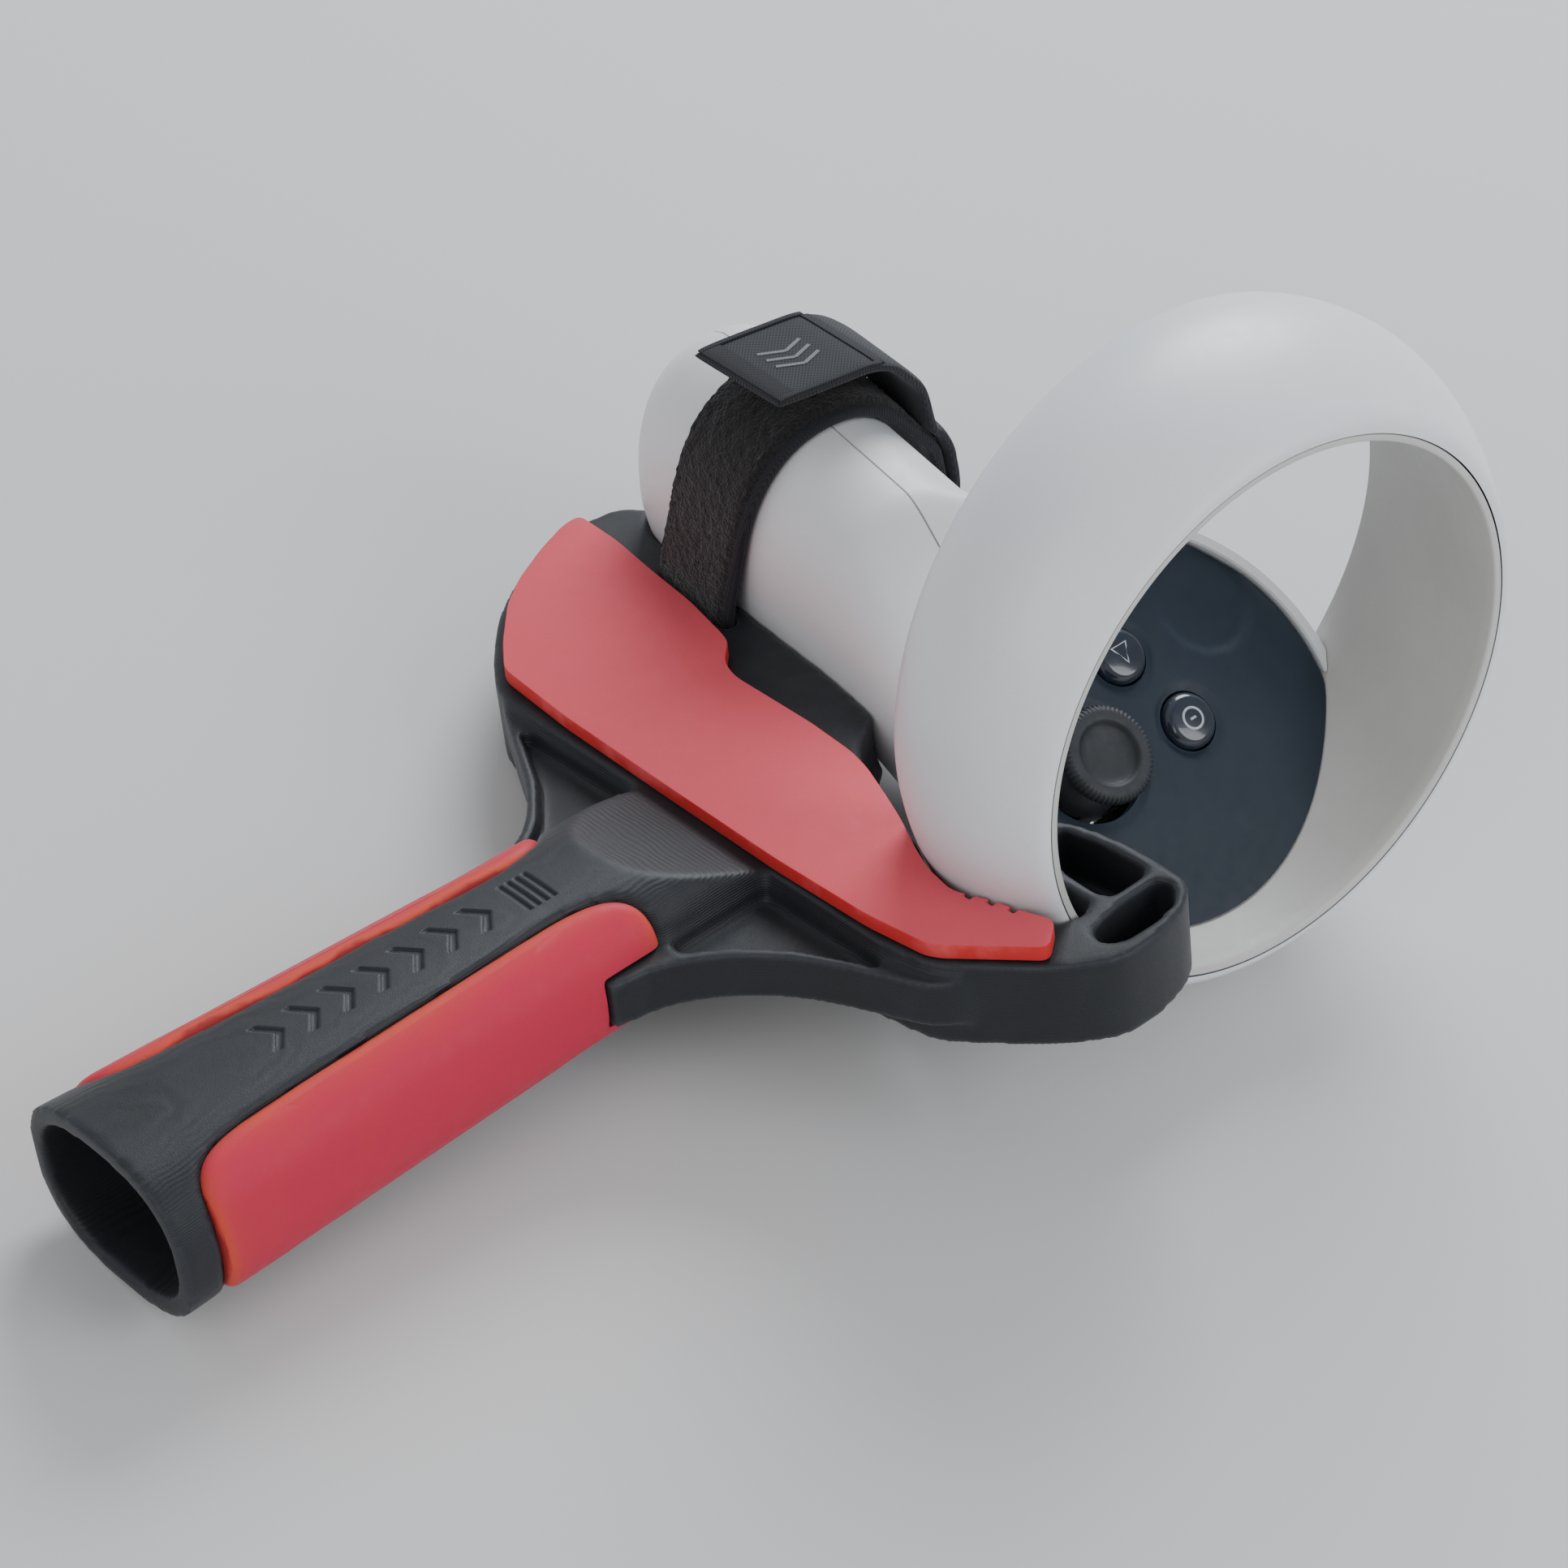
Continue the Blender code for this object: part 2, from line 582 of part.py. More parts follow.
# ------------------------------------------------------- islands and cleaning
def keep_largest(ob):
    """Drop the loose chips that a cut leaves behind."""
    apply_all(ob)
    bm = bmesh.new()
    bm.from_mesh(ob.data)
    bm.verts.ensure_lookup_table()
    seen, groups = set(), []
    for v in bm.verts:
        if v.index in seen:
            continue
        stack, grp = [v], []
        seen.add(v.index)
        while stack:
            a = stack.pop()
            grp.append(a)
            for e in a.link_edges:
                b = e.other_vert(a)
                if b.index not in seen:
                    seen.add(b.index)
                    stack.append(b)
        groups.append(grp)
    groups.sort(key=lambda g: -sum(f.calc_area() for f in {f for v in g for f in v.link_faces}))
    for g in groups[1:]:
        bmesh.ops.delete(bm, geom=g, context='VERTS')
    bm.to_mesh(ob.data)
    bm.free()
    return ob


def face_piece(name, profile, at, mat, steps=28, pivot=None):
    """Turned piece standing on the faceplate frame at (e1, e2)."""
    f = FACE_F @ Matrix.Translation((at[0], at[1], 0))
    return from_bm(name, turned_bm(profile, f, steps), mat, pivot=pivot or (f @ Vector((0, 0, 0))), smooth=35)


def face_cut(ob, at, radius, n0=-40.0, n1=12.0, steps=28):
    f = FACE_F @ Matrix.Translation((at[0], at[1], 0))
    c = from_bm(ob.name + "_hole", turned_bm([(radius, n1), (radius, n0)], f, steps), col=cut_col)
    boolean(ob, c)


# ----------------------------------------------------------------------- head
BUTTON_A = (1.8, 12.5)
BUTTON_B = (6.0, -0.3)
BUTTON_HOME = (-9.6, 15.6)
STICK = (-11.8, 1.7)
BUTTON_R = 4.1
HOME_R = 3.2
STICK_HOLE = 8.3
STICK_PIVOT_N = -4.0

ring_cut3 = as_cutter(from_bm("ring_clearance_head", ring_band(ring_block_profile(0.3), 48), col=cut_col))
boolean(body, ring_cut3)

faceplate = face_piece("faceplate", [(0, 0.9), (12, 0.8), (24, 0.45), (29.6, 0.1), (30.7, -0.5), (30.7, -1.6), (0, -1.6)],
                       (0, 0), M_DARK, 56)
for at, r in ((BUTTON_A, BUTTON_R + 0.35), (BUTTON_B, BUTTON_R + 0.35), (BUTTON_HOME, HOME_R + 0.3), (STICK, STICK_HOLE)):
    face_cut(faceplate, at, r)
boolean(faceplate, ring_cut3)

for name, at in (("button_a", BUTTON_A), ("button_b", BUTTON_B)):
    face_piece(name, [(0, 2.0), (2.6, 1.9), (3.6, 1.5), (BUTTON_R, 0.8), (BUTTON_R, -2.3), (5.0, -2.4), (5.0, -3.1), (0, -3.1)],
               at, M_BUTTON, 24)
face_piece("home_button", [(0, 1.1), (2.4, 1.05), (HOME_R, 0.7), (HOME_R, -2.3), (4.0, -2.4), (4.0, -3.1), (0, -3.1)],
           BUTTON_HOME, M_BUTTON, 20)

stick_f = FACE_F @ Matrix.Translation((STICK[0], STICK[1], 0))
stick_pivot = stick_f @ Vector((0, 0, STICK_PIVOT_N))
face_piece("thumbstick_cap", [(0, 6.3), (3.9, 6.1), (5.2, 6.7), (6.4, 6.5), (7.0, 5.6), (6.8, 4.7), (4.6, 4.0), (3.2, 3.0),
                              (2.9, 0.9), (0, 0.9)], STICK, M_RUBBER, 28, pivot=stick_pivot)
face_piece("thumbstick_rocker", [(0, 0.5), (3.4, 0.2), (5.4, -1.0), (6.6, -2.6), (6.0, -2.9), (1.5, -2.9), (1.5, -6.4), (0, -6.4)],
           STICK, M_RUBBER, 24, pivot=stick_pivot)
gim = from_bm("thumbstick_gimbal", box_bm((8.0, 6.4, 1.4), (0, 0, -5.4), stick_f), M_STEEL, pivot=stick_pivot, smooth=0)
boolean(gim, from_bm("gimbal_eye", turned_bm([(2.4, 0), (2.4, -12)], stick_f, 16), col=cut_col))
mod = from_bm("thumbstick_module", box_bm((13.6, 13.6, 6.1), (0, 0, -8.85), stick_f), M_BLACK, smooth=0)
boolean(mod, from_bm("module_well", box_bm((11.2, 11.2, 6.6), (0, 0, -6.9), stick_f), col=cut_col))

membrane = outline_solid("button_membrane", rounded([(-15, 21), (12, 21), (14, -8), (0, -8), (-2.6, 9.8), (-15, 11.6)], 2.5, 3),
                         -5.4, -4.4, M_RUBBER, basis=FACE_F)
board = face_piece("main_board", [(24.5, -9.0), (24.5, -10.4)], (0, 0), M_BOARD, 40)
boolean(board, from_bm("module_hole", box_bm((14.4, 14.4, 12), (0, 0, -8.1), stick_f), col=cut_col))
SCREWS = ((15.5, -5.0), (10.5, 9.5), (-17.5, 11.0))
CHASSIS_N = -10.8
chassis = face_piece("inner_chassis", [(24.0, CHASSIS_N), (24.0, CHASSIS_N - 2.0)], (0, 0), M_GREY, 40)
boolean(chassis, from_bm("module_hole_2", box_bm((14.4, 14.4, 12), (0, 0, -8.1), stick_f), col=cut_col))
ring_cut4 = as_cutter(from_bm("ring_clearance_board", ring_band(ring_block_profile(1.2), 40), col=cut_col))
for i, at in enumerate(SCREWS):
    face_piece("board_screw_%d" % (i + 1), [(0, -7.6), (1.6, -7.7), (1.9, -8.7), (0.8, -8.7), (0.8, -12.4), (0, -12.4)], at, M_STEEL, 12)
    face_cut(board, at, 1.15, -14, -2, 12)
    face_cut(chassis, at, 1.15, -14, -2, 12)
# carrier for the button membrane, standing on the board
for ob in (board, chassis, membrane):
    boolean(ob, ring_cut4)
head_inner = as_cutter(from_bm("head_inner", loft([head_ring(t, -GRIP_WALL - 1.8) for t in (0.0,) + HEAD_T]), col=cut_col))
for ob in (board, chassis, membrane):
    boolean(ob, head_inner, 'INTERSECT')
    keep_largest(ob)


# ----------------------------------------------------------------------- grip
def grip_pt(u, v, s):
    return GRIP_F @ Vector((u, v, s))


DOOR_U, DOOR_V, DOOR_S = 0.2, -8.0, GRIP_LEN + 9.0    # the door takes the far upper quarter of the shell
door = from_bm("battery_door", loft(outer_rings + list(reversed(inner_rings))), M_WHITE, smooth=50)
door_box = from_bm("door_region", box_bm((44, 48, DOOR_S + 6), (DOOR_U + 22, DOOR_V + 24, DOOR_S / 2 - 3), GRIP_F), col=cut_col)
boolean(door, door_box, 'INTERSECT')
boolean(body, from_bm("door_opening", box_bm((44 + GAP, 48 + GAP, DOOR_S + 6 + GAP),
                                             (DOOR_U + 22 - GAP / 2, DOOR_V + 24 - GAP / 2, DOOR_S / 2 - 3 + GAP / 2), GRIP_F), col=cut_col))
keep_largest(door)

CELL_S0, CELL_LEN, CELL_R = 7.2, 50.5, 7.15
cell = from_bm("battery_cell", turned_bm([(0, CELL_S0 + CELL_LEN), (2.7, CELL_S0 + CELL_LEN), (2.7, CELL_S0 + CELL_LEN - 1.4),
                                          (CELL_R, CELL_S0 + CELL_LEN - 1.5), (CELL_R, CELL_S0), (0, CELL_S0)], GRIP_F, 28),
               M_CELL, pivot=grip_pt(0, 0, CELL_S0), smooth=35)


def trough(name, r0, r1, s0, s1, a0, a1, mat, n=14):
    def arc(s):
        o = [grip_pt(r1 * math.cos(math.radians(a0 + (a1 - a0) * k / n)), r1 * math.sin(math.radians(a0 + (a1 - a0) * k / n)), s) for k in range(n + 1)]
        i = [grip_pt(r0 * math.cos(math.radians(a0 + (a1 - a0) * k / n)), r0 * math.sin(math.radians(a0 + (a1 - a0) * k / n)), s) for k in range(n, -1, -1)]
        return o + i
    return from_bm(name, loft([arc(s0), arc(s1)]), mat, smooth=35)


trough("battery_tray", CELL_R + 0.4, CELL_R + 1.6, CELL_S0 - 0.5, CELL_S0 + CELL_LEN - 1.0, 170, 330, M_BLACK)
from_bm("contact_plate", box_bm((9, 9, 0.5), (0, 0, CELL_S0 + CELL_LEN + 0.6), GRIP_F), M_STEEL, smooth=0)

# negative contact: a conical coil spring standing on the end wall
cu = bpy.data.curves.new("contact_spring", 'CURVE')
cu.dimensions = '3D'
cu.bevel_depth = 0.35 * MM
cu.bevel_resolution = 1
cu.use_fill_caps = True
sp = cu.splines.new('POLY')
N_C, TURNS = 42, 3
sp.points.add(N_C - 1)
for k in range(N_C):
    t = k / (N_C - 1)
    a = 2 * math.pi * TURNS * t
    r = 4.6 - 2.2 * t
    q = grip_pt(r * math.cos(a), r * math.sin(a), 3.0 + 3.4 * t) * MM
    sp.points[k].co = (*q, 1)
tmp = bpy.data.objects.new("contact_spring_curve", cu)
cut_col.objects.link(tmp)
bpy.context.view_layer.update()
me = bpy.data.meshes.new_from_object(tmp.evaluated_get(bpy.context.evaluated_depsgraph_get()))
bpy.data.objects.remove(tmp, do_unlink=True)
bm = bmesh.new()
bm.from_mesh(me)
bmesh.ops.remove_doubles(bm, verts=bm.verts[:], dist=1e-6)
bmesh.ops.recalc_face_normals(bm, faces=bm.faces[:])
bm.to_mesh(me)
bm.free()
me.name = "contact_spring"
link(bpy.data.objects.new("contact_spring", me), M_STEEL)

# haptic motor above the cell
hap_f = frame_matrix(grip_pt(0, 13.0, 42.0), GRIP_V, GRIP_D, GRIP_U)
from_bm("haptic_motor", turned_bm([(0, 6.0), (3.2, 6.0), (3.6, 5.6), (3.6, -5.6), (3.2, -6.0), (0, -6.0)], hap_f, 24), M_STEEL, smooth=35)

# squeeze button, low on the side that the fingers hold
GB_ANG = math.radians(-98.0)
GB_S0, GB_S1 = 36.0, 49.0
gb_n = Vector((math.cos(GB_ANG), math.sin(GB_ANG), 0))
gb_t = Vector((-gb_n.y, gb_n.x, 0))
gb_local = frame_matrix(Vector((0, 0, (GB_S0 + GB_S1) / 2)), gb_t, Vector((0, 0, 1)), Vector((gb_n.x, gb_n.y, 0)))
gb_basis = GRIP_F @ gb_local


def grip_slab(off0, off1, s0, s1, name, col=None, mat=None):
    rr = [grip_ring(s0, off1, 32), grip_ring(s1, off1, 32), grip_ring(s1, off0, 32), grip_ring(s0, off0, 32)]
    return from_bm(name, loft(rr, closed=True), mat, col=col, smooth=50)


gbut = grip_slab(-2.6, 0.7, GB_S0 - 4, GB_S1 + 4, "grip_button", mat=M_WHITE)
boolean(gbut, from_bm("grip_button_shape", box_bm((10.5, GB_S1 - GB_S0, 14), (0, 0, 19), gb_basis), col=cut_col), 'INTERSECT')
boolean(body, from_bm("grip_button_opening", box_bm((11.2, GB_S1 - GB_S0 + 0.7, 14), (0, 0, 19), gb_basis), col=cut_col))
keep_largest(gbut)
from_bm("grip_button_spring", turned_bm([(0, GRIP_B - 5.4), (2.2, GRIP_B - 5.4), (2.2, GRIP_B - 8.0), (0, GRIP_B - 8.0)], gb_basis, 14), M_STEEL, smooth=35)

# index trigger under the head, pivoting near the faceplate's lower edge
def under(t, off):
    """Point under the head's belly, off millimetres outside its skin."""
    r = head_ring(t, off, 32)
    return r[24]


def trigger_ring(t, o_in, o_out, half):
    c_in, c_out = under(t, o_in), under(t, o_out)
    d = (c_out - c_in).normalized()
    w = GRIP_U
    out = []
    for k in range(7):
        a = math.pi * k / 6
        out.append(c_in + w * (half * math.cos(a)) + d * ((c_out - c_in).length * (0.35 + 0.65 * math.sin(a) ** 0.8)))
    out.append(c_in - w * half * 0.92)
    out.append(c_in + w * half * 0.92)
    return out


TRIG_T = [0.02, 0.12, 0.24, 0.36, 0.46]
TRIG_PROFILE = [(-1.6, 2.2), (-1.6, 3.8), (-1.6, 4.2), (-1.6, 3.4), (-1.6, 1.8)]
TRIG_PIN_T, TRIG_PIN_OFF = 0.40, 0.35
trig_axle = under(TRIG_PIN_T, TRIG_PIN_OFF)
trigger = from_bm("trigger", loft([trigger_ring(t, a, b, 6.4) for t, (a, b) in zip(TRIG_T, TRIG_PROFILE)]), M_WHITE,
                  pivot=trig_axle, smooth=40)
pin_f = frame_matrix(trig_axle, GRIP_D, GRIP_V, -GRIP_U)
from_bm("trigger_pin", turned_bm([(0, 6.8), (0.8, 6.8), (0.8, -6.8), (0, -6.8)], pin_f, 14), M_STEEL, smooth=35)
boolean(trigger, from_bm("trigger_bore", turned_bm([(1.1, 9.0), (1.1, -9.0)], pin_f, 14), col=cut_col))
trig_open = from_bm("trigger_opening", loft([trigger_ring(t, a - 7.0, b + 3.0, 7.0) for t, (a, b) in
                                            zip([-0.03] + TRIG_T[1:-1] + [0.50], TRIG_PROFILE)]), col=cut_col)
boolean(body, trig_open)
boolean(body, as_cutter(from_bm("face_seat", turned_bm([(31.05, 4.0), (31.05, -1.95)], FACE_F, 56), col=cut_col)))
keep_largest(body)
keep_largest(faceplate)

# ---------------------------------------------------------------------- strap
def hull(points):
    pts = sorted(set((round(p[0], 5), round(p[1], 5)) for p in points))

    def half(seq):
        h = []
        for p in seq:
            while len(h) > 1 and ((h[-1][0] - h[-2][0]) * (p[1] - h[-2][1]) - (h[-1][1] - h[-2][1]) * (p[0] - h[-2][0])) <= 0:
                h.pop()
            h.append(p)
        return h[:-1]
    return half(pts) + half(reversed(pts))


def resample(loop, n):
    seg = [(Vector(loop[i]), Vector(loop[(i + 1) % len(loop)])) for i in range(len(loop))]
    total = sum((b - a).length for a, b in seg)
    out, acc, j = [], 0.0, 0
    for k in range(n):
        d = total * k / n
        while acc + (seg[j][1] - seg[j][0]).length < d - 1e-9:
            acc += (seg[j][1] - seg[j][0]).length
            j += 1
        a, b = seg[j]
        out.append(a.lerp(b, (d - acc) / (b - a).length))
    return out


RAIL_U, RAIL_V = -17.0, -23.2     # outer low corner of the rail that the strap runs round
FAR_U = 19.5                      # how far the strap stands off beyond the grip's far side
strap_path = resample(hull(superellipse(GRIP_A + 0.55, GRIP_B + 0.55, GRIP_P, 64)
                           + [(FAR_U - 1.6, 8.0), (FAR_U, 0.0), (FAR_U - 0.6, -8.0), (FAR_U - 5.0, -17.0),
                              (RAIL_U, -5.0), (RAIL_U, RAIL_V + 1.5), (RAIL_U + 1.5, RAIL_V), (RAIL_U + 7.0, RAIL_V)]), 60)


def offset_loop(loop, d):
    n = len(loop)
    out = []
    for i in range(n):
        t = (loop[(i + 1) % n] - loop[i - 1]).normalized()
        out.append(loop[i] + Vector((t.y, -t.x)) * d)
    return out


S_STRAP0 = (STRAP_X0 - GRIP_X0) / GRIP_D.x
S_STRAP1 = (STRAP_X1 - GRIP_X0) / GRIP_D.x


def strap_solid(name, o0, o1, s0, s1, mat=None, col=None):
    rings = []
    for o, s in ((o0, s0), (o1, s0), (o1, s1), (o0, s1)):
        rings.append([grip_pt(p.x, p.y, s) for p in offset_loop(strap_path, o)])
    return from_bm(name, loft(rings, closed=True), mat, smooth=50, col=col)


strap = strap_solid("strap_loop", 0.0, STRAP_THICK, S_STRAP0, S_STRAP1, M_STRAP)
strap_cut = strap_solid("strap_clearance", -0.35, STRAP_THICK + 0.35, S_STRAP0 - 0.4, S_STRAP1 + 0.4, col=cut_col)
boolean(frame, strap_cut)
boolean(frame, from_bm("grip_button_pocket", box_bm((12.4, GB_S1 - GB_S0 + 2.4, 14), (0, 0, 19), gb_basis), col=cut_col))
keep_largest(frame)

# hook end, lying over the loop from the far side to the raised free end
def path_angle(p):
    return math.degrees(math.atan2(p.y, p.x))


lay = STRAP_THICK + 0.35
over = [p for p in offset_loop(strap_path, lay) if -30.0 <= path_angle(p) <= 60.0]
over.sort(key=path_angle)
over_out = [p for p in offset_loop(strap_path, lay + 1.5) if -30.0 <= path_angle(p) <= 60.0]
over_out.sort(key=path_angle)
# the tab leaves the round of the loop and runs on nearly flat to its free end
tab_in = [Vector(p) for p in ((9.6, 24.6), (7.6, 26.6), (4.4, 27.5), (-2.0, 27.9), (-9.8, 28.6))]
tab_out = [Vector(p) for p in ((11.6, 25.8), (8.8, 28.6), (4.8, 29.5), (-2.0, 29.9), (-10.2, 30.6))]
sec = over_out + tab_out + list(reversed(tab_in)) + list(reversed(over))
from_bm("strap_hook_end", loft([[grip_pt(p.x, p.y, s) for p in sec] for s in (S_STRAP0 - 0.3, S_STRAP1 + 0.3)]), M_STRAP, smooth=40)
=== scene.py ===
"""Looks of the VR motion controller in its bat-handle adapter."""
import bpy
import bmesh
import json
import math
import random
import numpy as np
from mathutils import Vector, Matrix, noise

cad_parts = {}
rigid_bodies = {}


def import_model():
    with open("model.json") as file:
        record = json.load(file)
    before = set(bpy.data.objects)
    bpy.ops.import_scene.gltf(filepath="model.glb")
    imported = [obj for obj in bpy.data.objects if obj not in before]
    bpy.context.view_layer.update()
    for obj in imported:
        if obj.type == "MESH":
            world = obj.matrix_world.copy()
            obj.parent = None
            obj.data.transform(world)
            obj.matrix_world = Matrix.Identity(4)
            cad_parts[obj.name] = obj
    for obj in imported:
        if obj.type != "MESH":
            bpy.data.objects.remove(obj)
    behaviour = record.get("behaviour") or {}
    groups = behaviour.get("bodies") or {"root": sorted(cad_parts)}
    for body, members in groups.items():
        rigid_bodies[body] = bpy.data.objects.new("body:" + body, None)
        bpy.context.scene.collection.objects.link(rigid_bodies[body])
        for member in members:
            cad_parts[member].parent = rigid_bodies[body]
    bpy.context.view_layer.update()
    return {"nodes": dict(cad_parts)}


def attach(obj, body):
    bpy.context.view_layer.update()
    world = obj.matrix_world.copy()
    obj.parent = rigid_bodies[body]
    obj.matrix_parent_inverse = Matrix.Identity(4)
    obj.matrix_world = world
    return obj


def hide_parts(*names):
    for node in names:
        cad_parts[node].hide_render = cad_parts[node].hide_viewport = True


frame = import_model()
NODES = frame["nodes"]
random.seed(7)

# ---------------------------------------------------------------- pose of the part
MM = 0.001
REST = (Matrix.Translation(Vector((51.452, 53.042, 52.839)) * MM)
        @ Matrix.Rotation(math.radians(-11.533), 4, 'Y') @ Matrix.Rotation(math.radians(4.196), 4, 'X'))
TO_WORLD = REST @ Matrix.Scale(MM, 4)          # adapter millimetres to the row frame
TO_LOCAL = TO_WORLD.inverted()

# ------------------------------------------------------------------------- camera
CAM_R = Matrix(((0.6493261949355856, 0.7542928636142577, -0.09704518777907972),
                (0.40786627451317903, -0.45309281067206053, -0.7926865755341342),
                (-0.6418883039012426, 0.475130698669214, -0.6018556508805836)))
CAM_C = Vector((66.00693763178681, -9.564439360322957, 643.9811545660375))
cam_data = bpy.data.cameras.new("camera")
cam_data.lens = 111.8
cam_data.sensor_width = 36.0
cam_data.clip_start = 0.01
cam = bpy.data.objects.new("camera", cam_data)
bpy.context.scene.collection.objects.link(cam)
_rb = (Matrix(((1, 0, 0), (0, -1, 0), (0, 0, -1))) @ CAM_R).transposed()
cam.matrix_world = REST @ (Matrix.Translation(-(CAM_R.transposed() @ CAM_C) * MM) @ _rb.to_4x4())
bpy.context.scene.camera = cam


# ---------------------------------------------------------------------- materials
def nt(m):
    m.use_nodes = True
    t = m.node_tree
    return t, t.nodes["Principled BSDF"]


def N(t, kind, **kw):
    n = t.nodes.new(kind)
    for k, v in kw.items():
        if k in n.inputs:
            n.inputs[k].default_value = v
        else:
            setattr(n, k, v)
    return n


def coords(t, local=True, scale=1.0):
    """Coordinates in adapter millimetres."""
    tc = N(t, "ShaderNodeTexCoord")
    inv = TO_LOCAL
    mp = N(t, "ShaderNodeMapping", vector_type='POINT')
    rot = inv.to_3x3().normalized()
    mp.inputs["Rotation"].default_value = rot.to_euler()
    mp.inputs["Scale"].default_value = (1, 1, 1)
    mp.inputs["Location"].default_value = (0, 0, 0)
    t.links.new(tc.outputs["Object"], mp.inputs["Vector"])
    vm = N(t, "ShaderNodeVectorMath", operation='SCALE')
    vm.inputs["Scale"].default_value = 1000.0 * scale
    t.links.new(mp.outputs["Vector"], vm.inputs[0])
    return vm.outputs["Vector"]


def ramp(t, fac, stops):
    r = N(t, "ShaderNodeValToRGB")
    e = r.color_ramp.elements
    e[0].position, e[0].color = stops[0][0], (*stops[0][1], 1)
    e[1].position, e[1].color = stops[-1][0], (*stops[-1][1], 1)
    for p, c in stops[1:-1]:
        x = e.new(p)
        x.color = (*c, 1)
    t.links.new(fac, r.inputs["Fac"])
    return r.outputs["Color"]


def maprange(t, v, a, b, c, d):
    m = N(t, "ShaderNodeMapRange")
    for i, x in zip(("From Min", "From Max", "To Min", "To Max"), (a, b, c, d)):
        m.inputs[i].default_value = x
    t.links.new(v, m.inputs["Value"])
    return m.outputs["Result"]


def mix(t, fac, a, b, blend='MIX'):
    m = N(t, "ShaderNodeMix", data_type='RGBA', blend_type=blend)
    if hasattr(fac, "links"):
        t.links.new(fac, m.inputs[0])
    else:
        m.inputs[0].default_value = fac
    for sock, v in ((m.inputs[6], a), (m.inputs[7], b)):
        if hasattr(v, "links"):
            t.links.new(v, sock)
        else:
            sock.default_value = (*v, 1)
    return m.outputs[2]


def add(t, a, b, op='ADD'):
    m = N(t, "ShaderNodeMath", operation=op)
    for s, v in ((m.inputs[0], a), (m.inputs[1], b)):
        if hasattr(v, "links"):
            t.links.new(v, s)
        else:
            s.default_value = v
    return m.outputs[0]


def noise_tex(t, co, scale, detail=3.0, rough=0.55):
    n = N(t, "ShaderNodeTexNoise")
    n.inputs["Scale"].default_value = scale
    n.inputs["Detail"].default_value = detail
    n.inputs["Roughness"].default_value = rough
    t.links.new(co, n.inputs["Vector"])
    return n.outputs["Fac"]


def bump(t, b, height, strength, dist, prev=None):
    n = N(t, "ShaderNodeBump")
    n.inputs["Strength"].default_value = strength
    n.inputs["Distance"].default_value = dist
    t.links.new(height, n.inputs["Height"])
    if prev is not None:
        t.links.new(prev, n.inputs["Normal"])
    return n.outputs["Normal"]


def plastic(name, lo, hi, r0=0.4, r1=0.5, grain=6.0, mottle=0.08, depth=0.00003, spec=0.5, metallic=0.0, coat=0.0, extra=None):
    """Moulded plastic: fine spark-eroded grain, faint mottling, uneven gloss."""
    m = bpy.data.materials.new(name)
    t, b = nt(m)
    co = coords(t)
    big = noise_tex(t, co, mottle, 4.0)
    fine = noise_tex(t, co, grain, 2.0, 0.7)
    col = ramp(t, big, [(0.3, lo), (0.7, hi)])
    col = mix(t, maprange(t, fine, 0.35, 0.7, 0.0, 0.16), col, tuple(c * 0.6 for c in lo))
    if extra:
        col = extra(t, co, col)
    t.links.new(col, b.inputs["Base Color"])
    t.links.new(maprange(t, noise_tex(t, co, 0.5, 5.0), 0.3, 0.7, r0, r1), b.inputs["Roughness"])
    t.links.new(bump(t, b, fine, 0.5, depth), b.inputs["Normal"])
    b.inputs["Metallic"].default_value = metallic
    b.inputs["Specular IOR Level"].default_value = spec
    b.inputs["Coat Weight"].default_value = coat
    return m


def nylon_material():
    """Dyed laser-sintered nylon: powder grain, layer contours, convex edges painted lighter (partly rubbed wear, partly
    painted highlight).
    """
    m = bpy.data.materials.new("nylon_black")
    t, b = nt(m)
    co = coords(t)
    sep = N(t, "ShaderNodeSeparateXYZ")
    t.links.new(co, sep.inputs[0])
    wob = noise_tex(t, co, 0.12, 2.0)
    z = add(t, sep.outputs["Z"], add(t, wob, 0.9, 'MULTIPLY'))
    layers = add(t, add(t, z, 2 * math.pi / 0.34, 'MULTIPLY'), 0.0, 'SINE')
    patch = maprange(t, noise_tex(t, co, 0.16, 4.0), 0.4, 0.62, 0.25, 1.0)
    layers = add(t, layers, patch, 'MULTIPLY')
    grain = noise_tex(t, co, 5.0, 3.0, 0.75)
    big = noise_tex(t, co, 0.09, 4.0)
    col = ramp(t, big, [(0.25, (0.0052, 0.0062, 0.0085)), (0.55, (0.0088, 0.0105, 0.0140)), (0.8, (0.0145, 0.0172, 0.0225))])
    col = mix(t, maprange(t, layers, -1, 1, 0.0, 0.22), col, (0.030, 0.034, 0.043))
    dust = maprange(t, noise_tex(t, co, 1.9, 6.0, 0.8), 0.68, 0.76, 0.0, 0.25)
    col = mix(t, dust, col, (0.10, 0.10, 0.105))
    # convex edges painted lighter and bluer: partly rubbed wear, partly a painted highlight where the edges catch the
    # light
    geo = N(t, "ShaderNodeNewGeometry")
    edge = maprange(t, geo.outputs["Pointiness"], 0.515, 0.56, 0.0, 0.5)
    col = mix(t, edge, col, (0.05, 0.056, 0.066))
    t.links.new(col, b.inputs["Base Color"])
    t.links.new(maprange(t, add(t, grain, add(t, big, 0.6, 'MULTIPLY')), 0.4, 1.1, 0.34, 0.56), b.inputs["Roughness"])
    n1 = bump(t, b, layers, 0.35, 0.00005)
    t.links.new(bump(t, b, grain, 0.45, 0.00009, n1), b.inputs["Normal"])
    b.inputs["Specular IOR Level"].default_value = 0.34
    b.inputs["Sheen Weight"].default_value = 0.05
    return m


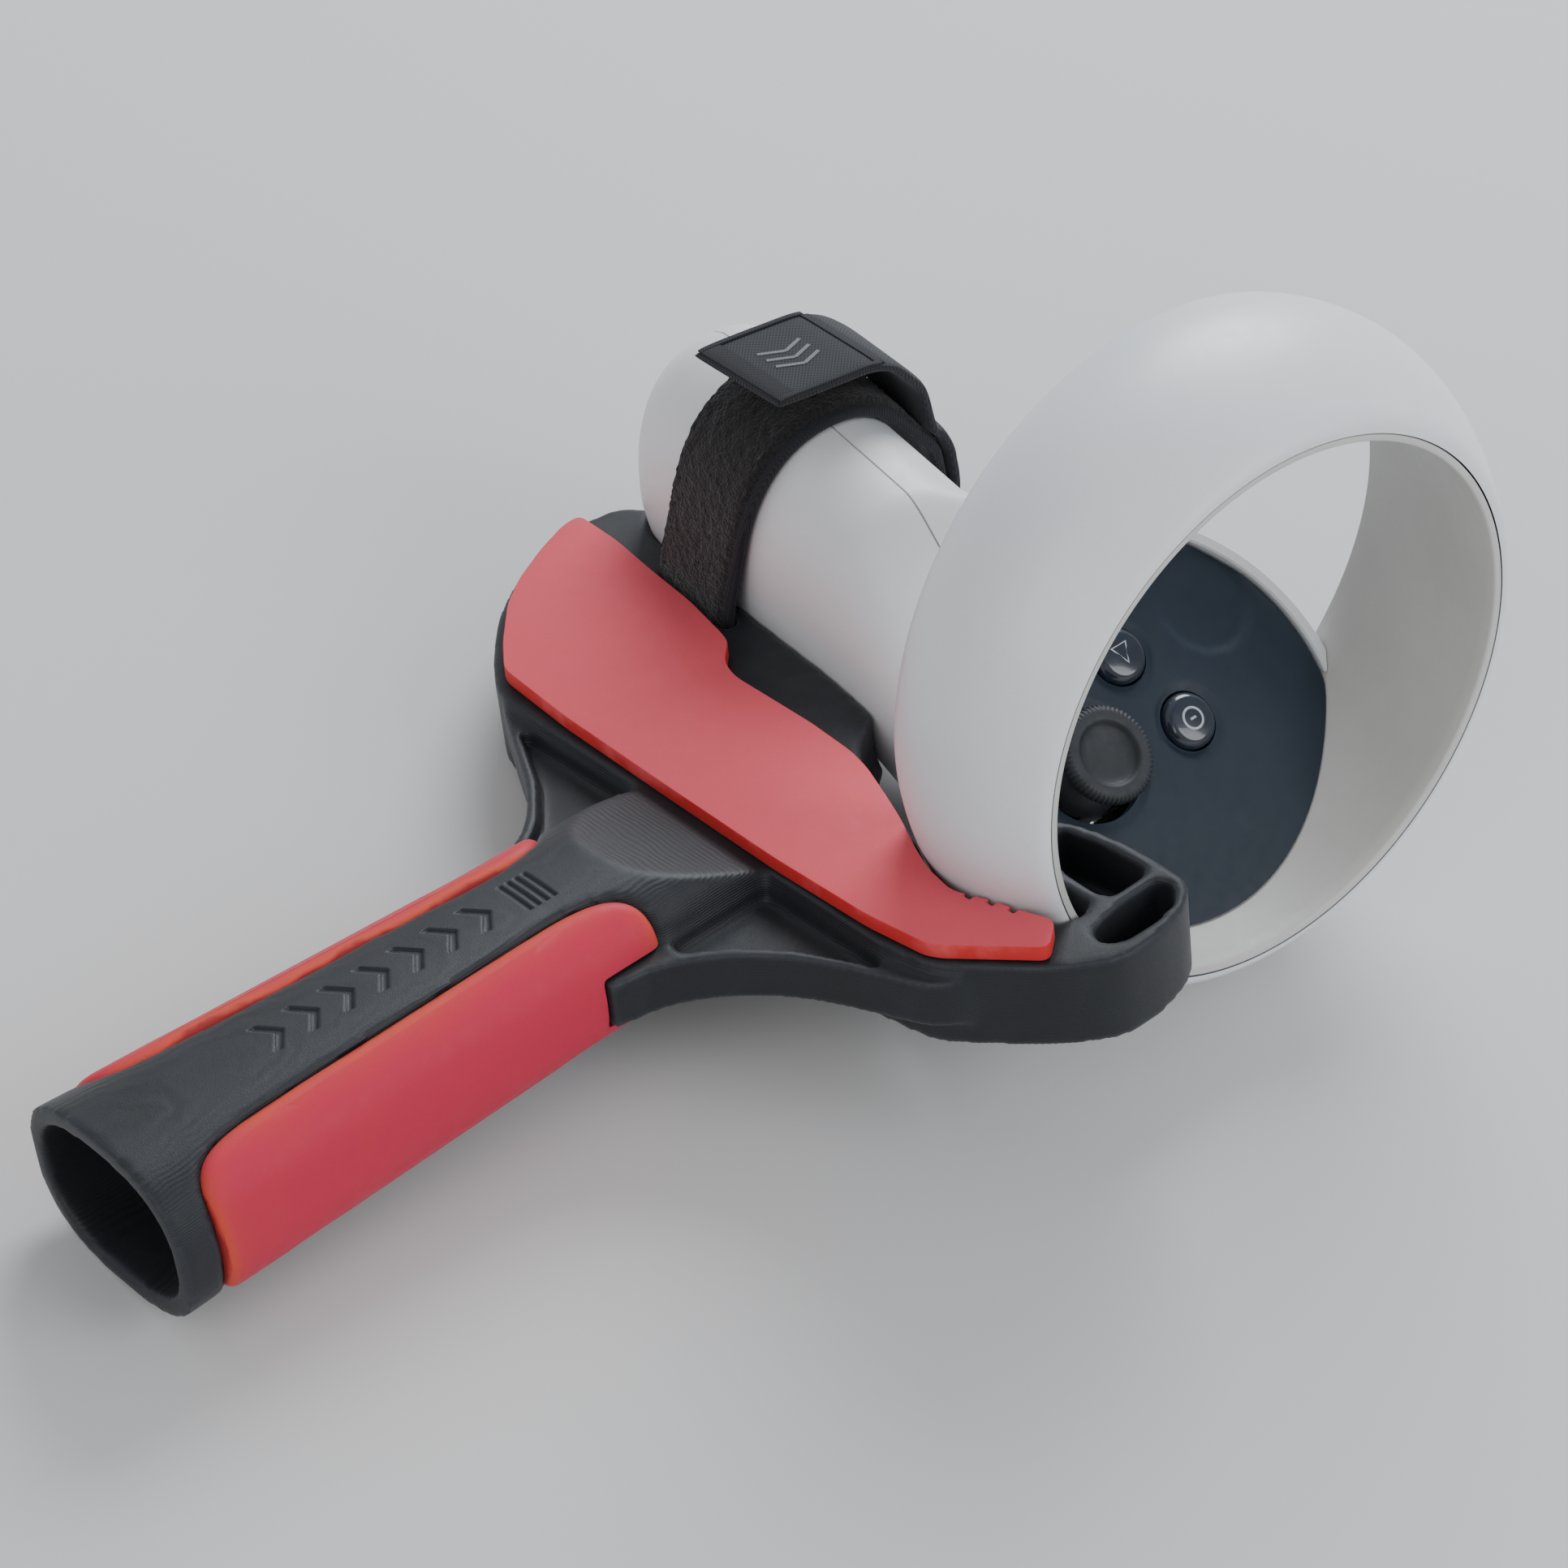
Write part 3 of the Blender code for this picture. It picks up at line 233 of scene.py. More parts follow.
def rubber_material(name, core, rim, edge_shade, rough=0.5):
    """Soft dyed pad: the rim is painted lighter and warmer than the middle (painted highlight) and the very edge darker
    (painted shade).
    """
    m = bpy.data.materials.new(name)
    t, b = nt(m)
    co = coords(t)
    at = N(t, "ShaderNodeAttribute", attribute_name="rim")
    big = noise_tex(t, co, 0.10, 4.0)
    soft = add(t, at.outputs["Fac"], add(t, maprange(t, big, 0.3, 0.7, -0.16, 0.16), 1.0, 'MULTIPLY'))
    # colour along the rim attribute: core colour in the middle, painted highlight colour towards the rim, painted shade
    # colour at the very edge
    col = ramp(t, soft, [(0.0, core), (0.55, tuple(0.7 * a + 0.3 * b_ for a, b_ in zip(core, rim))), (0.86, rim), (1.0, edge_shade)])
    fine = noise_tex(t, co, 3.2, 5.0, 0.75)
    col = mix(t, maprange(t, fine, 0.3, 0.75, 0.0, 0.14), col, tuple(c * 0.62 for c in core))
    speck = maprange(t, noise_tex(t, co, 1.1, 6.0, 0.85), 0.68, 0.74, 0.0, 0.3)
    col = mix(t, speck, col, (0.62, 0.34, 0.34))
    t.links.new(col, b.inputs["Base Color"])
    t.links.new(maprange(t, noise_tex(t, co, 0.35, 5.0), 0.3, 0.7, rough - 0.06, rough + 0.08), b.inputs["Roughness"])
    t.links.new(bump(t, b, fine, 0.5, 0.00006), b.inputs["Normal"])
    b.inputs["Sheen Weight"].default_value = 0.03
    b.inputs["Sheen Roughness"].default_value = 0.4
    b.inputs["Specular IOR Level"].default_value = 0.14
    b.inputs["Subsurface Weight"].default_value = 0.0
    return m


def weave_material(name, lo, hi, period, rough=0.95, fuzz=False):
    m = bpy.data.materials.new(name)
    t, b = nt(m)
    co = coords(t)
    if fuzz:
        v = N(t, "ShaderNodeTexVoronoi", feature='F1')
        v.inputs["Scale"].default_value = 2.1
        t.links.new(co, v.inputs["Vector"])
        h = add(t, v.outputs["Distance"], noise_tex(t, co, 1.5, 6.0, 0.8), 'ADD')
        h = maprange(t, h, 0.3, 1.3, 0, 1)
    else:
        sep = N(t, "ShaderNodeSeparateXYZ")
        t.links.new(co, sep.inputs[0])
        a = add(t, add(t, sep.outputs["X"], 2 * math.pi / period, 'MULTIPLY'), 0, 'SINE')
        c = add(t, add(t, sep.outputs["Y"], 2 * math.pi / period, 'MULTIPLY'), 0, 'SINE')
        h = maprange(t, add(t, a, c, 'MULTIPLY'), -1, 1, 0, 1)
    lint = maprange(t, noise_tex(t, co, 0.7, 6.0, 0.85), 0.64, 0.74, 0, 0.4)
    col = ramp(t, h, [(0.1, lo), (0.9, hi)])
    col = mix(t, lint, col, tuple(min(1, c * 3 + 0.02) for c in hi))
    t.links.new(col, b.inputs["Base Color"])
    t.links.new(maprange(t, h, 0, 1, rough, rough - 0.15), b.inputs["Roughness"])
    t.links.new(bump(t, b, h, 0.8, 0.0002 if fuzz else 0.00008), b.inputs["Normal"])
    b.inputs["Sheen Weight"].default_value = 0.25 if fuzz else 0.1
    b.inputs["Sheen Roughness"].default_value = 0.5
    b.inputs["Specular IOR Level"].default_value = 0.2
    return m


def steel_material(name, tint=(0.55, 0.56, 0.57)):
    m = bpy.data.materials.new(name)
    t, b = nt(m)
    co = coords(t)
    sc = N(t, "ShaderNodeVectorMath", operation='MULTIPLY')
    sc.inputs[1].default_value = (0.6, 12.0, 12.0)
    t.links.new(co, sc.inputs[0])
    g = noise_tex(t, sc.outputs[0], 1.0, 3.0)
    t.links.new(ramp(t, g, [(0.3, tuple(c * 0.75 for c in tint)), (0.7, tint)]), b.inputs["Base Color"])
    t.links.new(maprange(t, g, 0.3, 0.7, 0.22, 0.42), b.inputs["Roughness"])
    t.links.new(bump(t, b, g, 0.3, 0.00002), b.inputs["Normal"])
    b.inputs["Metallic"].default_value = 1.0
    return m


def board_extra(t, co, col):
    v = N(t, "ShaderNodeTexBrick")
    v.inputs["Scale"].default_value = 0.5
    v.inputs["Mortar Size"].default_value = 0.03
    v.inputs["Color1"].default_value = (0.01, 0.10, 0.04, 1)
    v.inputs["Color2"].default_value = (0.015, 0.13, 0.05, 1)
    v.inputs["Mortar"].default_value = (0.25, 0.22, 0.08, 1)
    t.links.new(co, v.inputs["Vector"])
    return mix(t, 0.8, col, v.outputs["Color"])


M = dict(
    nylon=nylon_material(),
    # rubber pads: core colour, painted-highlight rim colour, painted-shade edge colour, roughness
    blade=rubber_material("blade_red", (0.70, 0.092, 0.120), (0.70, 0.080, 0.088), (0.58, 0.030, 0.028), 0.58),
    grip=rubber_material("grip_red", (0.56, 0.034, 0.072), (0.62, 0.075, 0.045), (0.30, 0.022, 0.022), 0.48),
    white=plastic("shell_white", (0.715, 0.735, 0.76), (0.785, 0.80, 0.82), 0.36, 0.46, 7.0, 0.03, 0.00002),
    ringwhite=plastic("ring_white", (0.725, 0.752, 0.79), (0.795, 0.818, 0.85), 0.34, 0.44, 7.0, 0.03, 0.00002),
    grey=plastic("ring_inner_grey", (0.53, 0.525, 0.50), (0.60, 0.595, 0.57), 0.45, 0.58, 6.0, 0.05, 0.00003),
    face=plastic("face_slate", (0.0150, 0.0235, 0.0360), (0.0200, 0.0305, 0.0460), 0.40, 0.52, 9.0, 0.06, 0.00002),
    button=plastic("button_gloss", (0.020, 0.027, 0.040), (0.028, 0.036, 0.052), 0.10, 0.2, 8.0, 0.2, 0.000004, coat=0.4),
    mark=plastic("mark_grey", (0.40, 0.43, 0.47), (0.48, 0.50, 0.54), 0.4, 0.5, 8.0, 0.5, 0.00001),
    stick=plastic("stick_rubber", (0.012, 0.014, 0.018), (0.02, 0.023, 0.029), 0.5, 0.65, 4.0, 0.3, 0.00004),
    fuzz=weave_material("strap_loop_pile", (0.004, 0.004, 0.0045), (0.017, 0.0165, 0.018), 0.5, 1.0, True),
    tab=weave_material("strap_tab_weave", (0.012, 0.0135, 0.016), (0.030, 0.033, 0.038), 0.62, 0.8),
    edge=weave_material("strap_edge_weave", (0.010, 0.0105, 0.013), (0.028, 0.029, 0.035), 0.45, 0.9),
    thread=weave_material("strap_thread", (0.13, 0.135, 0.14), (0.24, 0.245, 0.25), 0.3, 0.7),
    black=plastic("moulded_black", (0.012, 0.013, 0.014), (0.02, 0.021, 0.023), 0.4, 0.55, 5.0, 0.2, 0.00003),
    steel=steel_material("steel_plain"),
    board=plastic("board_green", (0.010, 0.10, 0.04), (0.015, 0.14, 0.055), 0.25, 0.4, 4.0, 0.5, 0.00001, extra=board_extra),
    flex=plastic("flex_amber", (0.30, 0.16, 0.04), (0.40, 0.22, 0.06), 0.3, 0.45, 4.0, 0.4, 0.00001),
    cell=plastic("cell_sleeve", (0.03, 0.06, 0.12), (0.05, 0.10, 0.18), 0.2, 0.32, 4.0, 0.3, 0.00001, metallic=0.3),
)
M["face"].node_tree.nodes["Principled BSDF"].inputs["Specular IOR Level"].default_value = 0.24
print("MATERIALS", len(M))

# ------------------------------------------------------------------------ helpers
HIDE = bpy.data.collections.new("cutters")       # never linked to the scene's render


def make(name, bm, mat, body, replaces=(), smooth=40.0, ride=True):
    """Object from a bmesh in adapter millimetres."""
    bmesh.ops.recalc_face_normals(bm, faces=bm.faces[:])
    bmesh.ops.transform(bm, matrix=TO_WORLD, verts=bm.verts[:])
    me = bpy.data.meshes.new(name)
    bm.to_mesh(me)
    bm.free()
    ob = bpy.data.objects.new(name, me)
    bpy.context.scene.collection.objects.link(ob)
    if mat is not None:
        me.materials.append(mat)
    me.shade_smooth()
    if smooth:
        me.set_sharp_from_angle(angle=math.radians(smooth))
    if ride:
        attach(ob, body)
        if replaces:
            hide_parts(*replaces)
    return ob


def raw(bm):
    """Temporary object for cutting, in adapter millimetres turned to the row frame."""
    bmesh.ops.recalc_face_normals(bm, faces=bm.faces[:])
    bmesh.ops.transform(bm, matrix=TO_WORLD, verts=bm.verts[:])
    me = bpy.data.meshes.new("cut")
    bm.to_mesh(me)
    bm.free()
    ob = bpy.data.objects.new("cut", me)
    bpy.context.scene.collection.objects.link(ob)
    return ob


def run_mods(ob):
    bpy.context.view_layer.update()
    dg = bpy.context.evaluated_depsgraph_get()
    me = bpy.data.meshes.new_from_object(ob.evaluated_get(dg))
    ob.modifiers.clear()
    old = ob.data
    mats = [m for m in old.materials]
    ob.data = me
    me.materials.clear()
    for m in mats:
        me.materials.append(m)
    bpy.data.meshes.remove(old)


def boolean(ob, cutters, op='DIFFERENCE'):
    for c in cutters:
        m = ob.modifiers.new("b", 'BOOLEAN')
        m.operation, m.object, m.solver = op, c, 'MANIFOLD'
        run_mods(ob)
        bpy.data.objects.remove(c, do_unlink=True)


def bevelled(ob, width, segments=2, angle=32.0, clamp=True):
    m = ob.modifiers.new("round", 'BEVEL')
    m.width, m.segments, m.limit_method, m.angle_limit = width * MM, segments, 'ANGLE', math.radians(angle)
    m.use_clamp_overlap = clamp
    m.miter_outer = 'MITER_ARC'
    run_mods(ob)
    ob.data.shade_smooth()
    ob.data.set_sharp_from_angle(angle=math.radians(50))


def loft(rings, closed=False, caps=True):
    bm = bmesh.new()
    vs = [[bm.verts.new(Vector(p)) for p in r] for r in rings]
    n, m = len(vs[0]), len(vs)
    for i in range(m if closed else m - 1):
        a, b = vs[i], vs[(i + 1) % m]
        for j in range(n):
            k = (j + 1) % n
            bm.faces.new((a[j], a[k], b[k], b[j]))
    if caps and not closed:
        bm.faces.new(list(reversed(vs[0])))
        bm.faces.new(vs[-1])
    return bm


def largest(ob):
    bm = bmesh.new()
    bm.from_mesh(ob.data)
    bm.verts.ensure_lookup_table()
    seen, groups = set(), []
    for v in bm.verts:
        if v.index in seen:
            continue
        st, g = [v], [v]
        seen.add(v.index)
        while st:
            a = st.pop()
            for e in a.link_edges:
                b = e.other_vert(a)
                if b.index not in seen:
                    seen.add(b.index)
                    st.append(b)
                    g.append(b)
        groups.append(g)
    groups.sort(key=len)
    for g in groups[:-1]:
        bmesh.ops.delete(bm, geom=g, context='VERTS')
    bm.to_mesh(ob.data)
    bm.free()


def smoothstep(t):
    t = min(1.0, max(0.0, t))
    return t * t * (3 - 2 * t)


def superellipse(a, b, p, n):
    out = []
    for k in range(n):
        t = 2 * math.pi * k / n
        c, s = math.cos(t), math.sin(t)
        out.append((a * math.copysign(abs(c) ** (2 / p), c), b * math.copysign(abs(s) ** (2 / p), s)))
    return out


def frame_matrix(o, x, y, z):
    m = Matrix.Identity(4)
    for i, v in enumerate((x, y, z)):
        m[0][i], m[1][i], m[2][i] = v
    m[0][3], m[1][3], m[2][3] = o
    return m


def rounded(points, radius, seg=8):
    out, n = [], len(points)
    for i in range(n):
        p0, p1, p2 = Vector(points[i - 1]), Vector(points[i]), Vector(points[(i + 1) % n])
        a, b = p0 - p1, p2 - p1
        d = min(radius, a.length * 0.45, b.length * 0.45)
        q0, q1 = p1 + a.normalized() * d, p1 + b.normalized() * d
        for k in range(seg + 1):
            t = k / seg
            out.append(tuple(q0 * (1 - t) ** 2 + p1 * 2 * t * (1 - t) + q1 * t * t))
    return out


def prism(pts, z0, z1, basis=None):
    """Outline pushed between two heights."""
    bm = bmesh.new()
    lo = [bm.verts.new((p[0], p[1], z0)) for p in pts]
    hi = [bm.verts.new((p[0], p[1], z1)) for p in pts]
    n = len(pts)
    for i in range(n):
        j = (i + 1) % n
        bm.faces.new((lo[i], lo[j], hi[j], hi[i]))
    bm.faces.new(list(reversed(lo)))
    bm.faces.new(hi)
    if basis is not None:
        bmesh.ops.transform(bm, matrix=basis, verts=bm.verts[:])
    return bm


def box_bm(size, centre, basis=None):
    bm = bmesh.new()
    bmesh.ops.create_cube(bm, size=1.0)
    bmesh.ops.scale(bm, vec=size, verts=bm.verts[:])
    bmesh.ops.translate(bm, vec=centre, verts=bm.verts[:])
    if basis is not None:
        bmesh.ops.transform(bm, matrix=basis, verts=bm.verts[:])
    return bm


def turned(profile, basis, steps=64, wave=None):
    """Solid of revolution about basis Z; wave(r, h, angle) may shift the radius."""
    bm = bmesh.new()
    rings = []
    for r, h in profile:
        if r < 1e-6:
            rings.append([bm.verts.new((0, 0, h))])
            continue
        row = []
        for k in range(steps):
            a = 2 * math.pi * k / steps
            rr = r + (wave(r, h, a) if wave else 0.0)
            row.append(bm.verts.new((rr * math.cos(a), rr * math.sin(a), h)))
        rings.append(row)
    for a, b in zip(rings, rings[1:]):
        for k in range(steps):
            l = (k + 1) % steps
            if len(a) == 1:
                bm.faces.new((a[0], b[l], b[k]))
            elif len(b) == 1:
                bm.faces.new((a[k], a[l], b[0]))
            else:
                bm.faces.new((a[k], a[l], b[l], b[k]))
    for r in (rings[0], rings[-1]):
        if len(r) > 1:
            bm.faces.new(r)
    bmesh.ops.transform(bm, matrix=basis, verts=bm.verts[:])
    return bm


# ------------------------------------------------------------------ tracking ring
RING_M = Matrix.Rotation(math.radians(-2.69), 3, 'Z') @ Matrix.Rotation(math.radians(2.42), 3, 'Y')


def ring_width(th):
    return 29.9 + 1.57 * math.cos(th) - 2.10 * math.sin(th) - 0.70 * math.cos(2 * th) - 0.50 * math.sin(2 * th)


def ring_out(s, th):
    return 41.55 * (1 - s) + (45.37 + 2.53 * math.cos(th - math.radians(53.0))) * s + 4.86 * 4 * s * (1 - s)


def ring_in(s, th):
    return (41.55 - 2.6) * (1 - s) + (45.37 + 2.53 * math.cos(th - math.radians(53.0)) - 2.6) * s + 0.5 * 4 * s * (1 - s)


def ring_pt(s, th, r):
    return RING_M @ Vector((-s * ring_width(th), r * math.cos(th), r * math.sin(th)))


def band(profile, steps):
    return loft([[ring_pt(s, th, r) for s, r in profile(th)] for th in [2 * math.pi * k / steps for k in range(steps)]], closed=True)


def cover_profile(th):
    """Outer cover with a soft rolled rim at the front and a finer one behind."""
    w = ring_width(th)
    f, g = 0.75 / w, 0.6 / w
    out = [(0.0, ring_in(0, th) + 1.45), (0.0, ring_out(0, th) - 0.75), (f * 0.28, ring_out(0, th) - 0.24), (f, ring_out(f, th) - 0.02)]
    out += [(s / 26, ring_out(s / 26, th)) for s in range(2, 25)]
    out += [(1 - g, ring_out(1 - g, th) - 0.02), (1 - g * 0.28, ring_out(1, th) - 0.2), (1.0, ring_out(1, th) - 0.65), (1.0, ring_in(1, th) + 1.45)]
    back = [(s / 10, ring_out(s / 10, th) - 1.3 - 0.6 * 4 * (s / 10) * (1 - s / 10)) for s in range(9, 0, -1)]
    return out + back


def inner_profile(th):
    w = ring_width(th)
    f = 0.5 / w
    low = [(0.05 / w, ring_in(0, th) + 1.2), (0.05 / w, ring_in(0, th) + 0.42), (f * 0.4, ring_in(f, th) + 0.12), (f, ring_in(f, th))]
    low += [(s / 12, ring_in(s / 12, th)) for s in range(1, 12)]
    low += [(1 - f, ring_in(1 - f, th)), (1 - f * 0.4, ring_in(1, th) + 0.12), (1 - 0.05 / w, ring_in(1, th) + 0.42), (1 - 0.05 / w, ring_in(1, th) + 1.2)]
    up = [(s / 8, ring_in(s / 8, th) + 1.15) for s in range(7, 0, -1)]
    return low + up


def ring_block(grow, steps=144):
    def f(th):
        e = grow / ring_width(th)
        ss = [-e] + [i / 14 for i in range(1, 14)] + [1 + e]
        cl = lambda s: min(1, max(0, s))
        return [(s, ring_out(cl(s), th) + grow) for s in ss] + [(s, ring_in(cl(s), th) - grow) for s in reversed(ss)]
    return band(f, steps)


make("ring_outer", band(cover_profile, 224), M["ringwhite"], "shell", ("ring_outer_cover",), 60)
make("ring_inner", band(inner_profile, 200), M["grey"], "shell", ("ring_inner_cover",), 60)

# ------------------------------------------------------------------- grip and head
GRIP_A, GRIP_B, GRIP_P, GRIP_WALL = 14.6, 21.2, 2.25, 2.0
GRIP_X0, GRIP_X1 = -118.0, -68.0


def grip_centre(x):
    return Vector((x, -7.3 - 0.09 * (x + 82), -7.7 - 0.16 * (x + 82)))


GRIP_D = Vector((1, -0.09, -0.16)).normalized()
GRIP_U = (Vector((0, 1, 0)) - GRIP_D * GRIP_D.y).normalized()
GRIP_V = GRIP_D.cross(GRIP_U)
GRIP_O = grip_centre(GRIP_X0)
GRIP_LEN = (grip_centre(GRIP_X1) - GRIP_O).length
GRIP_F = frame_matrix(GRIP_O, GRIP_U, GRIP_V, GRIP_D)
FACE_C = Vector((-29.4, 3.4, -21.3))
FACE_N = Vector((0.708, 0.022, 0.706)).normalized()
FACE_E1 = (Vector((0, 1, 0)) - FACE_N * FACE_N.y).normalized()
FACE_E2 = FACE_N.cross(FACE_E1)
FACE_F = frame_matrix(FACE_C, FACE_E1, FACE_E2, FACE_N)
HEAD_R = 33.0
NB = 96


def grip_pt(u, v, s):
    return GRIP_F @ Vector((u, v, s))


def end_scale(s):
    return 1.0 if s >= 10.0 else math.sqrt(max(0.0, 1 - ((10.0 - s) / 10.4) ** 2 * 0.80))


def grip_ring(s, off=0.0, n=NB, scale=1.0):
    return [grip_pt(u, v, s) for u, v in superellipse((GRIP_A + off) * scale, (GRIP_B + off) * scale, GRIP_P, n)]


def head_ring(t, off=0.0, n=NB):
    t2, t3 = t * t, t * t * t
    out, neck = [], grip_ring(GRIP_LEN, off, n)
    for k, q in enumerate(superellipse(HEAD_R + off, HEAD_R + off, 2.0, n)):
        p0, p1 = neck[k], FACE_F @ Vector((q[0], q[1], 0))
        d = (p1 - p0).length
        low = 0.5 - 0.5 * math.sin(2 * math.pi * k / n)
        out.append(p0 * (2 * t3 - 3 * t2 + 1) + GRIP_D * (d * 0.75) * (t3 - 2 * t2 + t)
                   + p1 * (3 * t2 - 2 * t3) + FACE_N * (d * (0.15 + 0.85 * low)) * (t3 - t2))
    return out


S_OUT = (0.0, 0.25, 0.6, 1.1, 1.8, 2.8, 4.0, 5.6, 7.6, 10.0, 14, 18, 22, 26, 30, 34, 38, 42, 46, GRIP_LEN)
HEAD_T = tuple(0.06 * i for i in range(1, 16)) + (0.95, 1.0)


def body_rings(off, n=NB):
    return [grip_ring(s, off, n, end_scale(s)) for s in S_OUT] + [head_ring(t, off, n) for t in HEAD_T]


def cup():
    inner = [grip_ring(s, -GRIP_WALL, NB, end_scale(max(0.0, s - 1.2))) for s in (2.2, 3.4, 5.8, 10.0, 24.0, 40.0, GRIP_LEN)]
    inner += [head_ring(t, -GRIP_WALL, NB) for t in HEAD_T[::2]]
    rim = [[p + FACE_N * 0.0 for p in head_ring(1.0, -0.35)]]
    rim[0] = [p + FACE_N * 0.35 for p in rim[0]]
    rim2 = [[p + FACE_N * 0.35 for p in head_ring(1.0, -GRIP_WALL + 0.3)]]
    return loft(body_rings(0.0) + rim + rim2 + list(reversed(inner)))


DOOR_U, DOOR_V, DOOR_S = 0.2, -8.0, GRIP_LEN + 9.0
gb_ang = math.radians(-98.0)
gb_n = Vector((math.cos(gb_ang), math.sin(gb_ang), 0))
gb_t = Vector((-gb_n.y, gb_n.x, 0))
GB_F = GRIP_F @ frame_matrix(Vector((0, 0, 42.5)), gb_t, Vector((0, 0, 1)), gb_n)


def trigger_ring(t, o_in, o_out, half, n=24):
    k = NB * 3 // 4
    c_in, c_out = head_ring(t, o_in)[k], head_ring(t, o_out)[k]
    d = (c_out - c_in).normalized()
    h = (c_out - c_in).length
    out = []
    for i in range(n + 1):
        a = math.pi * i / n
        out.append(c_in + GRIP_U * (half * math.cos(a)) + d * (h * (0.35 + 0.65 * math.sin(a) ** 0.8)))
    out += [c_in - GRIP_U * half * 0.92, c_in + GRIP_U * half * 0.92]
    return out


TRIG = [(0.02, -1.6, 2.2), (0.07, -1.6, 3.1), (0.12, -1.6, 3.8), (0.18, -1.6, 4.15), (0.24, -1.6, 4.2), (0.30, -1.6, 3.95), (0.36, -1.6, 3.4), (0.41, -1.6, 2.7), (0.46, -1.6, 1.8)]

body = make("body_shell", cup(), M["white"], "shell", ("controller_body",), 45)
cuts = [raw(ring_block(0.3)),
        raw(box_bm((44.3, 48.3, DOOR_S + 6.3), (DOOR_U + 22 - .15, DOOR_V + 24 - .15, DOOR_S / 2 - 3 + .15), GRIP_F)),
        raw(box_bm((11.2, 13.7, 14), (0, 0, 19), GB_F)),
        raw(loft([trigger_ring(t, a - 7.0, b + 3.0, 7.0) for t, a, b in [(-0.03, -1.6, 2.2)] + TRIG[1:-1] + [(0.50, -1.6, 1.8)]])),
        raw(turned([(31.05, 4.0), (31.05, -1.95)], FACE_F, 128))]
boolean(body, cuts)
largest(body)
body.data.shade_smooth()
body.data.set_sharp_from_angle(angle=math.radians(40))

door = make("grip_door", cup(), M["white"], "battery_door", ("battery_door",), 45)
boolean(door, [raw(box_bm((44, 48, DOOR_S + 6), (DOOR_U + 22, DOOR_V + 24, DOOR_S / 2 - 3), GRIP_F))], 'INTERSECT')
largest(door)
door.data.shade_smooth()
door.data.set_sharp_from_angle(angle=math.radians(40))

# squeeze button: slab of the grip's own skin, domed by bevelling
gb_rings = []
for off, ss in ((0.7, [32.0 + i for i in range(22)]), (-2.6, [53.0 - i for i in range(22)])):
    gb_rings += [grip_ring(s, off, NB) for s in ss]
gbtn = make("squeeze_button", loft(gb_rings, closed=True), M["white"], "grip_button", ("grip_button",), 45)
boolean(gbtn, [raw(prism(rounded([(-5.25, -6.5), (5.25, -6.5), (5.25, 6.5), (-5.25, 6.5)], 2.2, 6), 12, 26, GB_F))], 'INTERSECT')
largest(gbtn)
bevelled(gbtn, 0.5, 3, 50)

trig = make("index_trigger", loft([trigger_ring(t, a, b, 6.4) for t, a, b in TRIG]), M["white"], "trigger", ("trigger",), 45)
bevelled(trig, 0.4, 3, 40)

# ---------------------------------------------------------------------- faceplate
BUTTON_A, BUTTON_B, BUTTON_HOME, STICK = (1.8, 12.5), (6.0, -0.3), (-9.6, 15.6), (-11.8, 1.7)
BUTTON_R, HOME_R, STICK_HOLE = 4.1, 3.2, 8.3
REST_SPOT = (19.1, 13.1)


def face_height(x, y):
    r = math.hypot(x, y)
    pts = [(0, 0.9), (12, 0.8), (24, 0.45), (29.4, 0.12), (30.2, -0.05), (30.55, -0.3), (30.7, -0.7)]
    h = pts[-1][1]
    for (r0, h0), (r1, h1) in zip(pts, pts[1:]):
        if r <= r1:
            h = h0 + (h1 - h0) * (r - r0) / (r1 - r0)
            break
    for (c, rad, dep, soft) in ((REST_SPOT, 8.4, 0.42, 1.6), (BUTTON_A, 5.6, 0.32, 1.0), (BUTTON_B, 5.6, 0.32, 1.0),
                                (BUTTON_HOME, 4.6, 0.25, 0.9), (STICK, 9.6, 0.35, 1.2)):
        d = math.hypot(x - c[0], y - c[1])
        h -= dep * (1 - smoothstep((d - rad + soft) / soft))
    return h


bm = bmesh.new()
RR_ = [0.75 * i for i in range(1, 39)] + [29.0, 29.5, 29.9, 30.2, 30.4, 30.55, 30.65, 30.7]
rows = []
ctr = bm.verts.new((0, 0, face_height(0, 0)))
for r in RR_:
    rows.append([bm.verts.new((r * math.cos(2 * math.pi * k / 160), r * math.sin(2 * math.pi * k / 160),
                               face_height(r * math.cos(2 * math.pi * k / 160), r * math.sin(2 * math.pi * k / 160)))) for k in range(160)])
low = [bm.verts.new((30.7 * math.cos(2 * math.pi * k / 160), 30.7 * math.sin(2 * math.pi * k / 160), -1.6)) for k in range(160)]
for k in range(160):
    l = (k + 1) % 160
    bm.faces.new((ctr, rows[0][k], rows[0][l]))
    for a, b_ in zip(rows, rows[1:]):
        bm.faces.new((a[k], b_[k], b_[l], a[l]))
    bm.faces.new((rows[-1][k], low[k], low[l], rows[-1][l]))
bm.faces.new(list(reversed(low)))
bmesh.ops.transform(bm, matrix=FACE_F, verts=bm.verts[:])
face = make("face_cover", bm, M["face"], "shell", ("faceplate",), 35)
cuts = [raw(turned([(r, 6.0), (r, -4.0)], FACE_F @ Matrix.Translation((*at, 0)), 96))
        for at, r in ((BUTTON_A, BUTTON_R + 0.35), (BUTTON_B, BUTTON_R + 0.35), (BUTTON_HOME, HOME_R + 0.3), (STICK, STICK_HOLE))]
boolean(face, cuts + [raw(ring_block(0.3))])
largest(face)
face.data.shade_smooth()
face.data.set_sharp_from_angle(angle=math.radians(30))


def button_h(r, R, top):
    return top - 0.28 * (r / R) ** 2 - 0.9 * max(0.0, (r / R - 0.72) / 0.28) ** 2.2


